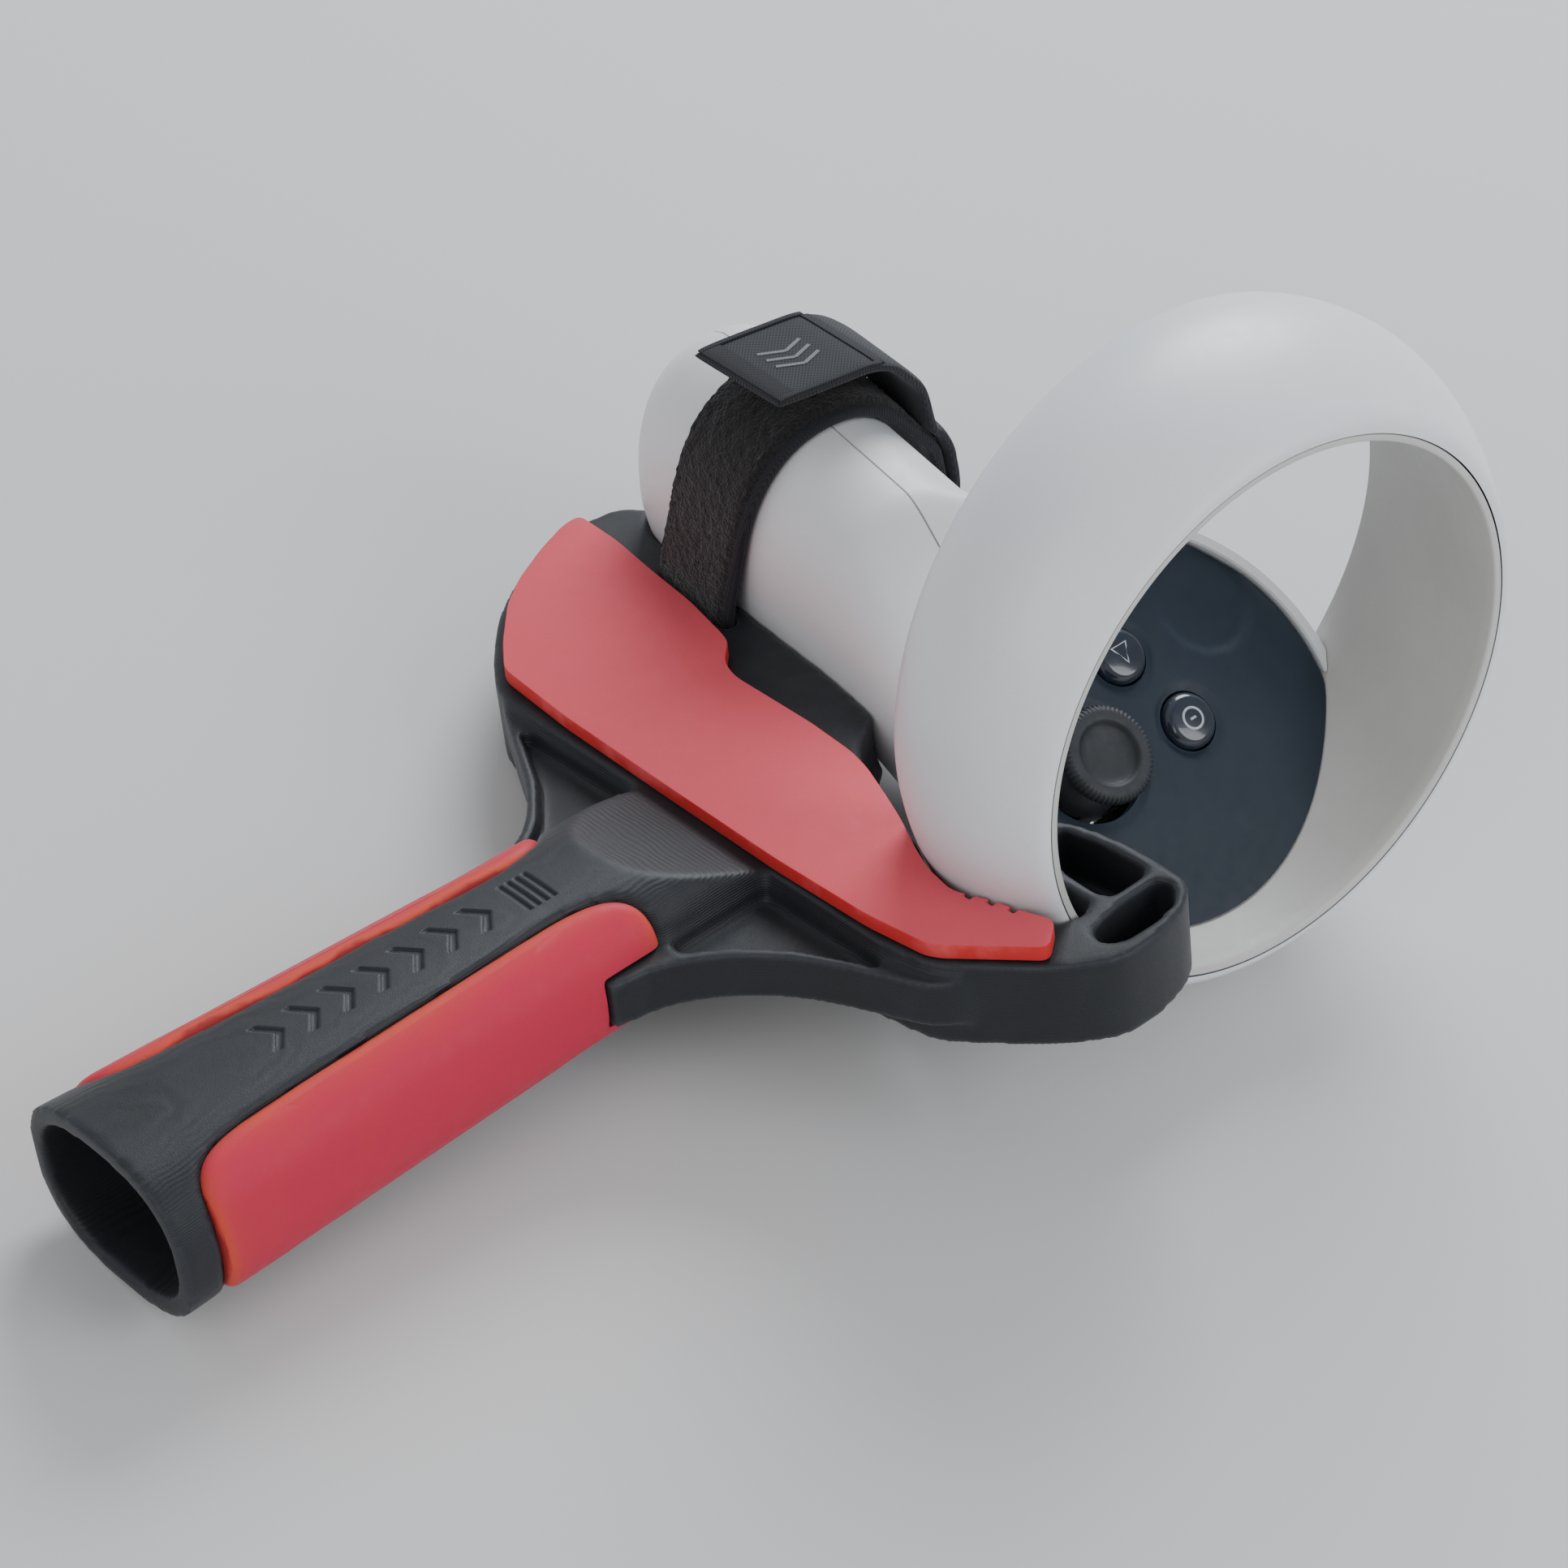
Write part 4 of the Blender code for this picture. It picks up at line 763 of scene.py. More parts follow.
def ribbon_on_dome(points, width, lift, closed, R, top, basis):
    """Thin raised line that follows a button's dome."""
    bm = bmesh.new()
    n, rows = len(points), []
    for i, p in enumerate(points):
        p = Vector(p)
        a = Vector(points[(i - 1) % n] if closed or i else points[0])
        c = Vector(points[(i + 1) % n] if closed or i < n - 1 else points[-1])
        t = (c - a).normalized()
        s = Vector((-t.y, t.x)) * (width / 2)
        row = []
        for q, up in ((p - s, -0.1), (p - s * 0.8, lift), (p + s * 0.8, lift), (p + s, -0.1)):
            row.append(bm.verts.new((q.x, q.y, button_h(q.length, R, top) + up)))
        rows.append(row)
    for i in range(n if closed else n - 1):
        a, b_ = rows[i], rows[(i + 1) % n]
        for j in range(4):
            k = (j + 1) % 4
            bm.faces.new((a[j], a[k], b_[k], b_[j]))
    if not closed:
        bm.faces.new(rows[0])
        bm.faces.new(list(reversed(rows[-1])))
    bmesh.ops.transform(bm, matrix=basis, verts=bm.verts[:])
    return bm


def press_button(name, at, R, top, node, body_name, marks):
    base = FACE_F @ Matrix.Translation((*at, 0))
    prof = [(0, top)] + [(R * i / 18, button_h(R * i / 18, R, top)) for i in range(1, 18)]
    prof += [(R, button_h(R, R, top)), (R, -2.3), (R + 0.9, -2.4), (R + 0.9, -3.1), (0, -3.1)]
    ob = make(name, turned(prof, base, 72), M["button"], body_name, (node,), 40)
    for i, (pts, w, closed) in enumerate(marks):
        mk = make(name + "_mark_%d" % i, ribbon_on_dome(pts, w, 0.035, closed, R, top, base), M["mark"], body_name, (), 30, ride=False)
        mk.parent = ob
    return ob


circ = lambda r, cx=0.0, cy=0.0, n=40: [(cx + r * math.cos(2 * math.pi * k / n), cy + r * math.sin(2 * math.pi * k / n)) for k in range(n)]
press_button("button_near", BUTTON_A, BUTTON_R, 2.1, "button_a", "button_a",
             [([(-1.35, 1.3), (1.35, 1.3), (0.0, -1.5)], 0.42, True)])
press_button("button_far", BUTTON_B, BUTTON_R, 2.1, "button_b", "button_b", [(circ(1.55), 0.42, True), ([(-0.5, 0), (0.5, 0)], 0.42, False)])
press_button("button_small", BUTTON_HOME, HOME_R, 1.1, "home_button", "home_button", [([(-1.0, 0), (1.0, 0)], 0.4, False)])

stick_f = FACE_F @ Matrix.Translation((*STICK, 0))


def knurl(r, h, a):
    if 6.3 < r < 7.2 and 4.9 < h < 6.9:
        return 0.14 * math.cos(a * 60)
    return 0.0


cap_prof = [(0, 5.75), (1.5, 5.75), (3.0, 5.8), (4.0, 5.95), (4.35, 6.2), (4.6, 6.6), (4.95, 6.78), (5.4, 6.72), (5.9, 6.75), (6.4, 6.62), (6.8, 6.3),
            (7.0, 5.8), (7.02, 5.3), (6.9, 4.9), (6.5, 4.6), (5.4, 4.25), (4.3, 3.9), (3.5, 3.4), (3.1, 2.8), (2.95, 1.8), (2.9, 0.9), (0, 0.9)]
make("stick_cap", turned(cap_prof, stick_f, 360, knurl), M["stick"], "stick_cap", ("thumbstick_cap",), 45)
rock_prof = [(0, 0.5)] + [(5.4 * math.sin(i * 0.105), 0.5 - 1.5 * (1 - math.cos(i * 0.105)) * 2) for i in range(1, 10)] + \
            [(5.4, -1.0), (6.1, -1.7), (6.6, -2.6), (6.0, -2.9), (1.5, -2.9), (1.5, -6.4), (0, -6.4)]
rock_prof = [(0, 0.5), (1.2, 0.48), (2.4, 0.38), (3.4, 0.2), (4.3, -0.2), (5.0, -0.65), (5.7, -1.3), (6.2, -1.95), (6.6, -2.6), (6.0, -2.9), (1.5, -2.9), (1.5, -6.4), (0, -6.4)]
make("stick_dome", turned(rock_prof, stick_f, 96), M["stick"], "stick_rocker", ("thumbstick_rocker",), 40)

# ------------------------------------------------------------------- adapter frame
PLATE_TOP, PLATE_THICK = -10.8, 2.3
DECK, BAR_BOTTOM, WEB_TOP, WEB_FLOOR, WEB_BOTTOM = -13.4, -26.8, -15.2, -19.4, -22.6
HANDLE_X, HANDLE_Z, BUTT_Y, NECK_Y = -53.3, -18.0, -157.0, -88.0
HANDLE_POW, HANDLE_WALL = 2.6, 2.6


def handle_ab(y):
    f = min(1.0, max(0.0, (y - BUTT_Y) / (NECK_Y - BUTT_Y))) ** 0.9
    return 17.2 + (14.1 - 17.2) * f, 12.7 + (10.9 - 12.7) * f


def handle_ring(y, off=0.0, n=144):
    a, b_ = handle_ab(y)
    return [Vector((HANDLE_X + u, y, HANDLE_Z + v)) for u, v in superellipse(a + off, b_ + off, HANDLE_POW, n)]


BAR = rounded([
    (-110.5, -12.8), (-118.0, -13.6), (-122.4, -17.2), (-123.2, -25.5), (-121.4, -33.6), (-117.6, -40.6), (-113.4, -46.4),
    (-106.2, -53.0), (-100.2, -57.2), (-96.0, -58.2), (-60.0, -58.6), (-16.5, -58.4), (-8.4, -56.9), (3.4, -47.0), (8.9, -39.6),
    (9.0, -32.6), (7.2, -26.2), (3.9, -22.0), (-3.0, -21.6), (-12.5, -22.6), (-19.0, -24.6), (-23.0, -33.0), (-27.0, -41.6),
    (-32.6, -39.4), (-38.2, -37.2), (-44.0, -35.0), (-50.0, -33.0), (-54.0, -27.0), (-60.0, -20.0), (-72.0, -14.0), (-87.0, -11.5), (-104.0, -11.0)], 3.0, 6)
WING = rounded([
    (-118.0, -36.0), (-113.4, -46.2), (-105.0, -53.4), (-97.0, -58.6), (-89.4, -62.6), (-81.4, -66.8), (-74.8, -71.8), (-70.0, -79.0),
    (-68.8, -87.2), (-60.0, -87.2), (-46.0, -87.2), (-37.4, -87.2), (-36.2, -79.0), (-31.2, -71.8), (-24.6, -66.4), (-16.4, -62.4),
    (-6.5, -58.4), (-3.0, -52.0), (-60.0, -44.0)], 4.0, 8)
REC_R = rounded([(-39.0, -59.2), (-11.5, -59.2), (-17.8, -61.4), (-25.8, -65.4), (-32.8, -70.9), (-37.4, -77.0), (-39.0, -79.0)], 0.9, 5)
REC_L = rounded([(-67.0, -59.2), (-67.0, -79.0), (-68.8, -77.0), (-73.7, -70.7), (-80.4, -65.6), (-88.4, -61.5), (-93.4, -59.2)], 0.9, 5)

frm = raw(prism(BAR, BAR_BOTTOM, DECK))
boolean(frm, [raw(prism(WING, WEB_BOTTOM, WEB_TOP))], 'UNION')
boolean(frm, [raw(prism(REC_R, WEB_TOP - 2.3, 0)), raw(prism(REC_L, WEB_TOP - 2.3, 0))])
boolean(frm, [raw(loft([handle_ring(y) for y in [-54.0, -62, -70, -78.0, NECK_Y, -96, -105.0, -113, -122.0, -131, -140.0, -150.0, BUTT_Y]]))], 'UNION')
bev_f = frame_matrix((HANDLE_X, 0, 0), (0, 1, 0), (0, 0, 1), (1, 0, 0))
boolean(frm, [raw(prism([(-57.0, DECK), (-57.0, 2.0), (-92.0, 2.0), (-92.0, DECK + (92.0 - 58.6) * 0.36), (-59.2, DECK)], -40, 40, bev_f)),
              raw(box_bm((150, 46.4, 20), (-60, -35.8, DECK + 10))), raw(box_bm((150, 46.4, 20), (-60, -34.6, BAR_BOTTOM - 10))),
              raw(loft([handle_ring(y, -HANDLE_WALL) for y in (-80.0, NECK_Y, -96, -105.0, -113, -122.0, -131, -140.0, -150, BUTT_Y - 1)])),
              raw(prism(rounded([(-17.2, -25.6), (-10.9, -24.2), (-2.6, -23.8), (-1.4, -25.4), (-1.3, -31.0), (-3.4, -31.9), (-15.0, -31.4)], 0.8, 5), -21.6, 0)),
              raw(prism(rounded([(-9.0, -33.7), (-2.8, -33.5), (-1.3, -36.6), (-2.0, -38.0), (-7.0, -36.2)], 0.6, 5), -20.6, 0)),
              raw(prism(rounded([(0.3, -24.3), (3.0, -24.0), (5.6, -26.4), (6.6, -31.2), (6.2, -36.9), (4.4, -38.6), (2.0, -37.9), (1.0, -34.4), (0.3, -30.0)], 1.0, 5), -22.6, 0)),
              raw(ring_block(0.35))])
grown = [grip_ring(-0.5, 0.4, NB, end_scale(0))] + body_rings(0.4) + [[p + FACE_N * 3 for p in head_ring(1.0, 0.4)]]
boolean(frm, [raw(loft(grown))])


# handle pads: (side, y span, half angle) laid into shallow seats
def pad_point(y, side, ang, off):
    a, b_ = handle_ab(y)
    c, s = math.cos(ang), math.sin(ang)
    return Vector((HANDLE_X + side * (a + off) * abs(c) ** (2 / HANDLE_POW), y, HANDLE_Z + (b_ + off) * math.copysign(abs(s) ** (2 / HANDLE_POW), s)))


def pad_half(y):
    f = min(1.0, max(0.0, (y - BUTT_Y) / (NECK_Y - BUTT_Y)))
    return math.radians(58.0 + 8.0 * f)


PAD_Y0, PAD_Y1 = -151.0, -77.0


def pad_map(u, w, side, off, grow=0.0):
    y = (PAD_Y0 + PAD_Y1) / 2 + u * ((PAD_Y1 - PAD_Y0) / 2 + grow)
    return pad_point(y, side, w * (pad_half(y) + grow * 0.075), off)


def squircle(k, n, px=5.0):
    t = 2 * math.pi * k / n
    c, s = math.cos(t), math.sin(t)
    # long pad: tighter corners along its length than across
    return (math.copysign(abs(c) ** (2 / 9.0), c), math.copysign(abs(s) ** (2 / 4.2), s))


def pad_solid(side, prof, n=200, grow=0.0):
    """prof: (share of the outline, offset) from the middle of the top round to the middle of the back."""
    bm = bmesh.new()
    rows = []
    for q, off in prof:
        if q == 0:
            rows.append([bm.verts.new(pad_map(0, 0, side, off, grow))])
        else:
            rows.append([bm.verts.new(pad_map(squircle(k, n)[0] * q_edge(q, 36.0), squircle(k, n)[1] * q_edge(q, 14.0), side, off, grow)) for k in range(n)])
    for a, b_ in zip(rows, rows[1:]):
        for k in range(n):
            l = (k + 1) % n
            if len(a) == 1:
                bm.faces.new((a[0], b_[k], b_[l]))
            elif len(b_) == 1:
                bm.faces.new((a[k], b_[0], a[l]))
            else:
                bm.faces.new((a[k], b_[k], b_[l], a[l]))
    return bm


def q_edge(q, half):
    """q > 0 is a share of the way out; q < 0 is millimetres in from the rim."""
    return q if q > 0 else 1.0 + q / half


boolean(frm, [raw(pad_solid(s, [(0, 3.0), (0.5, 3.0), (1.0, 3.0), (1.0, -1.1), (0.5, -1.1), (0, -1.1)], 120, 0.35)) for s in (1, -1)])
# shoulder tongues that run out over the pads
for s in (1, -1):
    ox = lambda d: HANDLE_X + s * d
    boolean(frm, [raw(prism(rounded([(ox(9.8), -86.9), (ox(15.7), -87.0), (ox(16.9), -79.0), (ox(19.0), -75.8), (ox(9.8), -75.8)][::s], 0.7, 4), -22.6, -15.2))], 'UNION')

# hook-and-loop strap path round the grip and the adapter's rail
RAIL_U, RAIL_V, FAR_U, STRAP_T = -17.0, -23.2, 19.5, 1.9
S0, S1 = (-100.1 - GRIP_X0) / GRIP_D.x, (-83.8 - GRIP_X0) / GRIP_D.x


def hull(points):
    pts = sorted(set((round(p[0], 5), round(p[1], 5)) for p in points))

    def half(seq):
        h = []
        for p in seq:
            while len(h) > 1 and ((h[-1][0] - h[-2][0]) * (p[1] - h[-2][1]) - (h[-1][1] - h[-2][1]) * (p[0] - h[-2][0])) <= 0:
                h.pop()
            h.append(p)
        return h[:-1]
    return half(pts) + half(reversed(pts))


def resample(loop, n):
    seg = [(Vector(loop[i]), Vector(loop[(i + 1) % len(loop)])) for i in range(len(loop))]
    total = sum((b - a).length for a, b in seg)
    out, acc, j = [], 0.0, 0
    for k in range(n):
        d = total * k / n
        while acc + (seg[j][1] - seg[j][0]).length < d - 1e-9:
            acc += (seg[j][1] - seg[j][0]).length
            j += 1
        a, b = seg[j]
        out.append(a.lerp(b, (d - acc) / (b - a).length))
    return out


def relax(loop, times):
    for _ in range(times):
        loop = [(loop[i - 1] + loop[i] * 2 + loop[(i + 1) % len(loop)]) / 4 for i in range(len(loop))]
    return loop


strap_path = resample(hull(superellipse(GRIP_A + 0.55, GRIP_B + 0.55, GRIP_P, 96)
                           + [(FAR_U - 1.6, 8.0), (FAR_U, 0.0), (FAR_U - 0.6, -8.0), (FAR_U - 5.0, -17.0),
                              (RAIL_U, -5.0), (RAIL_U, RAIL_V + 1.5), (RAIL_U + 1.5, RAIL_V), (RAIL_U + 7.0, RAIL_V)]), 260)
strap_path = relax(strap_path, 14)
SN = len(strap_path)


def off_pt(i, d):
    t = (strap_path[(i + 1) % SN] - strap_path[i - 1]).normalized()
    return strap_path[i] + Vector((t.y, -t.x)) * d


def strap_band(o0, o1, s0, s1):
    return loft([[grip_pt(*off_pt(i, o), s) for i in range(SN)] for o, s in ((o0, s0), (o1, s0), (o1, s1), (o0, s1))], closed=True)


boolean(frm, [raw(strap_band(-0.35, STRAP_T + 0.35, S0 - 0.4, S1 + 0.4)), raw(box_bm((12.4, 15.4, 14), (0, 0, 19), GB_F))])
largest(frm)

# printed surface: even out the model at print resolution, then engrave it
frm.data.transform(REST.inverted())
rm = frm.modifiers.new("print", 'REMESH')
rm.mode, rm.voxel_size, rm.adaptivity = 'VOXEL', 0.00062, 0.0
run_mods(frm)
sm = frm.modifiers.new("soften", 'SMOOTH')
sm.factor, sm.iterations = 0.5, 5
run_mods(frm)
frm.data.transform(REST)
largest(frm)

def engraved(x, y):
    """Depth in millimetres of the engraved pattern on the handle's upper band."""
    dx = x - HANDLE_X
    if abs(dx) > 5.0 or y < -134.0 or y > -84.0:
        return 0.0
    d = 9.0
    for i in range(7):
        c = -130.0 + i * 5.6
        # a chevron stroke: two slanted arms meeting on the middle line
        e = abs((y - c) - (3.0 - abs(dx)) * 0.75)
        if abs(dx) < 3.1:
            d = min(d, e)
    for i in range(4):
        c = -89.5 + i * 1.35
        if abs(dx) < 3.4:
            d = min(d, abs(y - c) + 0.3)
    return 0.36 * (1 - smoothstep((d - 0.42) / 0.35))


bm = bmesh.new()
bm.from_mesh(frm.data)
bmesh.ops.transform(bm, matrix=TO_LOCAL, verts=bm.verts[:])
zone = [f for f in bm.faces if -135.0 < f.calc_center_median().y < -83.0 and abs(f.calc_center_median().x - HANDLE_X) < 4.2 and f.normal.z > 0.6
        and f.calc_center_median().z > HANDLE_Z + 8.6]
edges = list({e for f in zone for e in f.edges})
bmesh.ops.subdivide_edges(bm, edges=edges, cuts=2, use_grid_fill=True)
bm.normal_update()
for v in bm.verts:
    if abs(v.co.x - HANDLE_X) < 4.6 and -135.0 < v.co.y < -83.0 and v.normal.z > 0.6 and v.co.z > HANDLE_Z + 8.6:
        v.co.z -= engraved(v.co.x, v.co.y)
me = bpy.data.meshes.new("adapter_print")
bmesh.ops.triangulate(bm, faces=[f for f in bm.faces if len(f.verts) > 4])
bmesh.ops.transform(bm, matrix=TO_WORLD, verts=bm.verts[:])
bm.to_mesh(me)
bm.free()
adapter = bpy.data.objects.new("adapter_print", me)
bpy.context.scene.collection.objects.link(adapter)
bpy.data.objects.remove(frm, do_unlink=True)
me.materials.append(M["nylon"])
me.shade_smooth()
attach(adapter, "shell")
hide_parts("adapter_frame")
print("ADAPTER faces", len(me.polygons))

# --------------------------------------------------------------------- handle pads
PAD_PROF = [(0, 0.62), (0.35, 0.62), (0.6, 0.6), (0.78, 0.57), (0.88, 0.54), (-1.7, 0.5), (-1.15, 0.42), (-0.7, 0.24), (-0.35, -0.06), (-0.1, -0.42),
            (1.0, -0.72), (0.9, -0.78), (0.5, -0.78), (0, -0.78)]


def set_rim_light_shade(ob, fn):
    at = ob.data.attributes.new("rim", 'FLOAT', 'POINT')
    vals = [fn(TO_LOCAL @ v.co) for v in ob.data.vertices]
    at.data.foreach_set("value", vals)


def pad_rim_light_shade_mask(p, side):
    """0 in the middle of the pad, 1 on its outer edge; values towards 1 take the painted highlight colour of the rim,
    and 1 itself the painted shade of the edge.
    """
    u = (p.y - (PAD_Y0 + PAD_Y1) / 2) / ((PAD_Y1 - PAD_Y0) / 2)
    a, b_ = handle_ab(p.y)
    sx, sz = max(0.0, side * (p.x - HANDLE_X)) / a, (p.z - HANDLE_Z) / b_
    ang = math.atan2(math.copysign(abs(sz) ** (HANDLE_POW / 2), sz), max(1e-6, sx) ** (HANDLE_POW / 2))
    w = ang / pad_half(p.y)
    du, dw = (1 - abs(u)) * 36.0, (1 - abs(w)) * 14.0
    d = min(du, dw) if du > 3 or dw > 3 else max(0.0, 3 - math.hypot(3 - du, 3 - dw))
    if d < 0.35:
        return 1.0
    return max(0.0, 0.9 - 0.9 * (d - 0.35) / 4.2)


for side, nm, node in ((1, "grip_pad_right", "handle_pad_right"), (-1, "grip_pad_left", "handle_pad_left")):
    ob = make(nm, pad_solid(side, PAD_PROF, 240), M["grip"], "shell", (node,), 50)
    boolean(ob, [raw(prism(rounded([(-87.3, -23.1), (-60.0, -23.1), (-60.0, -14.7), (-87.3, -14.7)], 0.9, 4), -3.4, 6.0,
                           frame_matrix((HANDLE_X + side * 13.0, 0, 0), (0, 1, 0), (0, 0, 1), (side, 0, 0))))])
    largest(ob)
    ob.data.shade_smooth()
    ob.data.set_sharp_from_angle(angle=math.radians(45))
    sd = ob.modifiers.new("t", 'TRIANGULATE')
    run_mods(ob)
    ob.data.shade_smooth()
    ob.data.set_sharp_from_angle(angle=math.radians(45))
    # rim attribute: painted highlight band near the pad's rim, painted shade on its very edge
    set_rim_light_shade(ob, lambda p, s=side: pad_rim_light_shade_mask(p, s))

# ----------------------------------------------------------------------- blade pad
PLATE = rounded([
    (-121.6, -24.2), (-121.4, -27.6), (-119.0, -33.6), (-115.6, -40.2), (-111.8, -45.4), (-104.8, -51.8), (-99.4, -55.8), (-84.0, -57.0),
    (-60.0, -57.6), (-37.8, -58.0), (-20.0, -57.6), (-10.0, -56.4), (-8.0, -55.4), (2.9, -46.1), (-0.8, -41.6), (-5.7, -43.4), (-10.2, -44.6),
    (-15.3, -46.6), (-20.8, -45.6), (-25.5, -43.8), (-32.1, -40.7), (-37.8, -38.5), (-43.5, -36.4), (-47.9, -35.4), (-57.0, -34.8),
    (-73.5, -34.8), (-77.1, -33.6), (-80.5, -30.1), (-82.6, -29.4), (-92.3, -27.3), (-103.0, -26.0), (-112.3, -24.6)], 1.6, 5)
plate = make("blade_cover", prism(PLATE, PLATE_TOP - PLATE_THICK, PLATE_TOP), M["blade"], "shell", ("blade_pad",), 40)
notch = [raw(box_bm((1.3, 1.5, 1.4), (x, y, PLATE_TOP - 0.5), Matrix.Identity(4))) for x, y in ((-12.8, -45.6), (-9.6, -44.5), (-6.4, -43.7))]
boolean(plate, [raw(ring_block(0.3))] + notch)
largest(plate)
bevelled(plate, 0.32, 3, 35)
md = plate.modifiers.new("t", 'TRIANGULATE')
run_mods(plate)
plate.data.shade_smooth()
plate.data.set_sharp_from_angle(angle=math.radians(40))
# side walls take the painted shade colour (1), the top edge a band between painted highlight and painted shade (0.93),
# the top face the core colour
set_rim_light_shade(plate, lambda p: 1.0 if p.z < PLATE_TOP - 0.2 else (0.93 if p.z < PLATE_TOP - 0.01 else 0.0))

# ----------------------------------------------------------------------- strap
def noise3(p, f):
    return noise.noise(Vector(p) * f)


NS = 30
bm = bmesh.new()
grid = []
HALF = (S1 - S0) / 2
for i in range(SN):
    row = []
    # cross-section of the band: outer face, right side, inner face, left side
    sec = []
    for k in range(NS + 1):
        f = -1 + 2 * k / NS
        s_ = (S0 + S1) / 2 + f * HALF
        edge = smoothstep((1 - abs(f)) / 0.055)
        lip = 1.0 if f > 0.80 else 0.0
        c_ = strap_path[i]
        top = smoothstep((math.sin(math.atan2(c_.y, c_.x)) - 0.55) / 0.4)
        h = STRAP_T * (0.62 + 0.38 * edge)
        if not lip:
            h += (0.22 + 0.5 * top) * edge
            h += 0.30 * noise3((i * 0.9, k * 1.3, 0.0), 0.9) + 0.22 * noise3((i * 2.3, k * 2.9, 4.0), 1.0)
            h -= 0.12 * smoothstep((f - 0.70) / 0.10)
        else:
            h -= 0.30
        sec.append((h, s_))
    inner = [(0.02 + 0.25 * (1 - smoothstep((1 - abs(-1 + 2 * k / 10)) / 0.1)), (S0 + S1) / 2 + (-1 + 2 * k / 10) * HALF) for k in range(10, -1, -1)]
    for h, s_ in sec + inner:
        row.append(bm.verts.new(grip_pt(*off_pt(i, h), s_)))
    grid.append(row)
m_ = len(grid[0])
for i in range(SN):
    a, b_ = grid[i], grid[(i + 1) % SN]
    for k in range(m_):
        l = (k + 1) % m_
        bm.faces.new((a[k], a[l], b_[l], b_[k]))
bmesh.ops.recalc_face_normals(bm, faces=bm.faces[:])
loop_ob = make("strap_pile", bm, M["fuzz"], "shell", ("strap_loop",), 40)

# smooth woven edge along the band's right side
bm = bmesh.new()
rows = []
W0, W1 = S1 - 2.0, S1 + 0.12
for i in range(SN):
    cs = []
    for k in range(12):
        t = 2 * math.pi * k / 12
        h = 0.85 + 0.98 * math.sin(t) * 0.9
        s_ = (W0 + W1) / 2 + (W1 - W0) / 2 * math.copysign(abs(math.cos(t)) ** 0.5, math.cos(t))
        cs.append(bm.verts.new(grip_pt(*off_pt(i, h + 0.02 * math.sin(i * 1.9)), s_)))
    rows.append(cs)
for i in range(SN):
    a, b_ = rows[i], rows[(i + 1) % SN]
    for k in range(12):
        l = (k + 1) % 12
        bm.faces.new((a[k], a[l], b_[l], b_[k]))
bmesh.ops.recalc_face_normals(bm, faces=bm.faces[:])
make("strap_selvedge", bm, M["edge"], "shell", (), 60)


# hook end: laps over the far side, then leaves the band as a stiff free tab
def spline(pts, n):
    out = []
    m = len(pts)
    for i in range(m - 1):
        p0, p1, p2, p3 = pts[max(0, i - 1)], pts[i], pts[i + 1], pts[min(m - 1, i + 2)]
        for k in range(n):
            t = k / n
            out.append((p1 * 2 + (p2 - p0) * t + (p0 * 2 - p1 * 5 + p2 * 4 - p3) * t * t + (p1 * 3 - p0 - p2 * 3 + p3) * t ** 3) / 2)
    out.append(pts[-1])
    return out


over = [i for i in range(SN) if math.radians(-26) < math.atan2(strap_path[i].y, strap_path[i].x) < math.radians(36)]
over.sort(key=lambda i: math.atan2(strap_path[i].y, strap_path[i].x))
lap = [off_pt(i, 3.1) for i in over[::5]]
low = spline(lap + [Vector((14.8, 20.2)), Vector((11.9, 23.6)), Vector((8.8, 25.9)), Vector((5.2, 27.2)), Vector((0.0, 27.7)), Vector((-5.6, 28.1)), Vector((-11.6, 28.4))], 8)
upp = spline(lap + [Vector((15.6, 20.6)), Vector((12.9, 24.6)), Vector((9.9, 27.8)), Vector((6.2, 29.5)), Vector((1.0, 30.0)), Vector((-4.8, 30.4)), Vector((-10.4, 30.9))], 8)
n_lap = len(lap) * 8
T0, T1 = S0 - 0.5, S1 + 0.5


def tab_mid(i, f):
    a, b_ = low[i], upp[i]
    return a.lerp(b_, f)


def tab_width(i):
    g = smoothstep((i - n_lap + 6) / 16.0)
    return 0.4 * g


def tab_solid(i0, i1, th, h0, grow, f0, f1, taper=True, round_end=1.0):
    """Flat band between stations i0 and i1; th thickness, h0 height of its middle, f0..f1 its width in the band's own share."""
    bm = bmesh.new()
    rows = []
    M_ = 34
    for i in range(i0, i1 + 1):
        j0, j1 = max(0, i - 1), min(len(low) - 1, i + 1)
        row = []
        end = min(1.0, (i1 - i) / 5.0) if round_end else 1.0
        tt = th * (0.25 + 0.75 * math.sqrt(max(0.0, 1 - (1 - end) ** 2))) if i1 - i < 5 and round_end else th
        for k in range(M_):
            t = 2 * math.pi * k / M_
            cx = math.copysign(abs(math.cos(t)) ** 0.32, math.cos(t))
            cz = math.copysign(abs(math.sin(t)) ** 0.55, math.sin(t))
            f = f0 + (f1 - f0) * (cx + 1) / 2
            mid = tab_mid(i, f)
            tg = (tab_mid(j1, f) - tab_mid(j0, f)).normalized()
            nn = Vector((tg.y, -tg.x))
            if nn.dot(mid) < 0:
                nn = -nn
            w = tab_width(i)
            s_ = T0 + (T1 - T0) * f + (f - 0.5) * 2 * w + (cx * grow)
            row.append(bm.verts.new(grip_pt(*(mid + nn * (h0 + cz * tt / 2)), s_)))
        rows.append(row)
    for a, b_ in zip(rows, rows[1:]):
        for k in range(M_):
            l = (k + 1) % M_
            bm.faces.new((a[k], a[l], b_[l], b_[k]))
    bm.faces.new(rows[0])
    bm.faces.new(rows[-1][::-1])
    bmesh.ops.recalc_face_normals(bm, faces=bm.faces[:])
    return bm


LAST = len(low) - 1
make("strap_hook", tab_solid(0, LAST, 1.7, 0.0, 0.0, 0.0, 1.0), M["tab"], "shell", ("strap_hook_end",), 50)
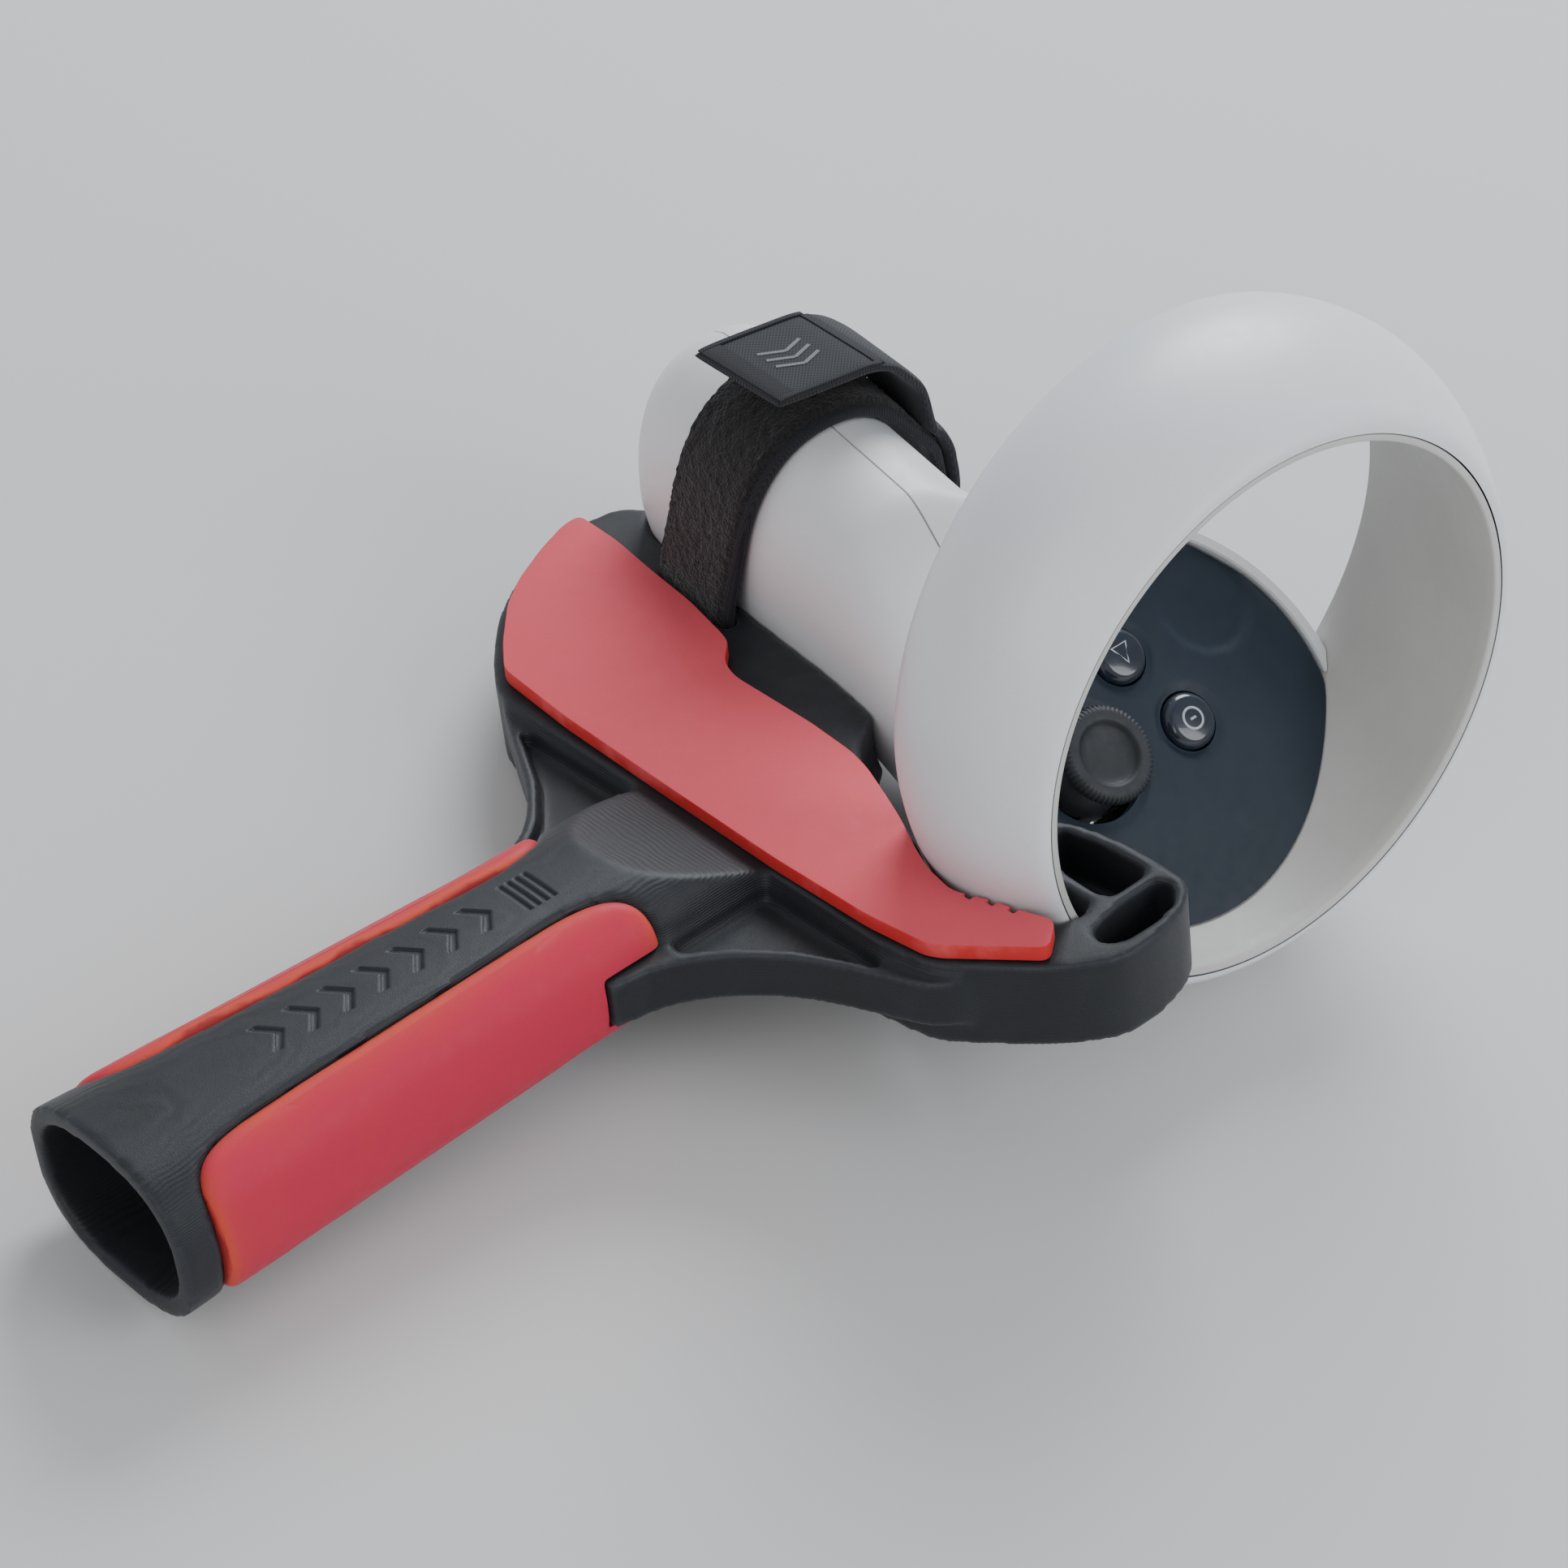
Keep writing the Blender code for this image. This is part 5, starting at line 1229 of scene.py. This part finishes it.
# raised border of the tab: a welded rim all round the free end
i_tab = n_lap + 22
for f0, f1 in ((0.0, 0.055), (0.945, 1.0)):
    make("tab_rim", tab_solid(i_tab, LAST - 1, 0.9, 0.62, 0.0, f0, f1), M["edge"], "shell", (), 50)
make("tab_rim_end", tab_solid(LAST - 5, LAST - 1, 0.9, 0.62, 0.0, 0.03, 0.97), M["edge"], "shell", (), 50)
make("tab_rim_start", tab_solid(i_tab - 2, i_tab + 1, 0.9, 0.62, 0.0, 0.03, 0.97, round_end=0), M["edge"], "shell", (), 50)


# generic chevron mark on the tab's face
def tab_face(q, f, h):
    """q 0..1 along the free tab, f share of the width."""
    x = i_tab + q * (LAST - i_tab)
    i = min(LAST - 1, int(x))
    r = x - i
    m0, m1 = tab_mid(i, f), tab_mid(i + 1, f)
    mid = m0.lerp(m1, r)
    tg = (m1 - m0).normalized()
    nn = Vector((tg.y, -tg.x))
    if nn.dot(mid) < 0:
        nn = -nn
    return grip_pt(*(mid + nn * h), T0 + (T1 - T0) * f)


def stroke(p0, p1, wq, name):
    bm = bmesh.new()
    d = (Vector(p1) - Vector(p0))
    nrm = Vector((-d.y, d.x)).normalized() * wq
    top, bot = [], []
    for k in range(9):
        c = Vector(p0).lerp(Vector(p1), k / 8)
        for sgn in (1, -1):
            q_, f_ = c + nrm * sgn
            top.append(bm.verts.new(tab_face(q_, f_, 0.98)))
            bot.append(bm.verts.new(tab_face(q_, f_, 0.72)))
    for k in range(8):
        a = 2 * k
        bm.faces.new((top[a], top[a + 1], top[a + 3], top[a + 2]))
        bm.faces.new((bot[a], bot[a + 2], bot[a + 3], bot[a + 1]))
        bm.faces.new((top[a], top[a + 2], bot[a + 2], bot[a]))
        bm.faces.new((top[a + 1], bot[a + 1], bot[a + 3], top[a + 3]))
    bm.faces.new((top[0], bot[0], bot[1], top[1]))
    bm.faces.new((top[16], top[17], bot[17], bot[16]))
    bmesh.ops.recalc_face_normals(bm, faces=bm.faces[:])
    make(name, bm, M["thread"], "shell", (), 50)


for n_, c in enumerate((0.34, 0.46, 0.58)):
    stroke((0.30, c), (0.50, c + 0.09), 0.016, "tab_stroke")
    stroke((0.50, c + 0.09), (0.70, c), 0.016, "tab_stroke")

# --------------------------------------------------------------- carried-over parts
INNER = {"ring_led_flex": "flex", "thumbstick_gimbal": "steel", "thumbstick_module": "black", "button_membrane": "stick", "main_board": "board",
         "inner_chassis": "grey", "board_screw_1": "steel", "board_screw_2": "steel", "board_screw_3": "steel", "battery_cell": "cell",
         "battery_tray": "black", "contact_plate": "steel", "contact_spring": "steel", "haptic_motor": "steel", "grip_button_spring": "steel",
         "trigger_pin": "steel", "thumbstick_rocker": "black"}
for ob in list(bpy.context.scene.objects):
    key = ob.name
    if key in INNER and ob.type == 'MESH':
        ob.data.materials.clear()
        ob.data.materials.append(M[INNER[key]])

# -------------------------------------------------------------------------- stage
fm = bpy.data.materials.new("floor")
t, b = nt(fm)
b.inputs["Base Color"].default_value = (0.62, 0.62, 0.62, 1)
b.inputs["Roughness"].default_value = 0.9
me = bpy.data.meshes.new("floor")
me.from_pydata([(-4, -4, 0), (4, -4, 0), (4, 4, 0), (-4, 4, 0)], [], [(0, 1, 2, 3)])
me.materials.append(fm)
floor = bpy.data.objects.new("floor", me)
bpy.context.scene.collection.objects.link(floor)

world = bpy.data.worlds.new("studio")
bpy.context.scene.world = world
world.use_nodes = True
world.node_tree.nodes["Background"].inputs[0].default_value = (0.93, 0.96, 1.0, 1)
world.node_tree.nodes["Background"].inputs[1].default_value = 0.56


def area(name, loc, target, size, power, colour):
    l = bpy.data.lights.new(name, 'AREA')
    l.energy, l.size, l.color, l.shape = power, size, colour, 'DISK'
    o = bpy.data.objects.new(name, l)
    bpy.context.scene.collection.objects.link(o)
    o.location = loc
    o.rotation_euler = (Vector(target) - Vector(loc)).to_track_quat('-Z', 'Y').to_euler()
    return o


area("window_back_left", (-0.55, 0.75, 0.75), (0, 0.02, 0.03), 0.7, 13.0, (0.92, 0.96, 1.0))
area("window_right", (0.75, 0.35, 0.6), (0, 0, 0.03), 0.6, 4.0, (0.95, 0.97, 1.0))
area("front_fill", (0.3, -0.9, 0.7), (0, 0, 0.03), 0.9, 3.6, (1.0, 0.98, 0.95))

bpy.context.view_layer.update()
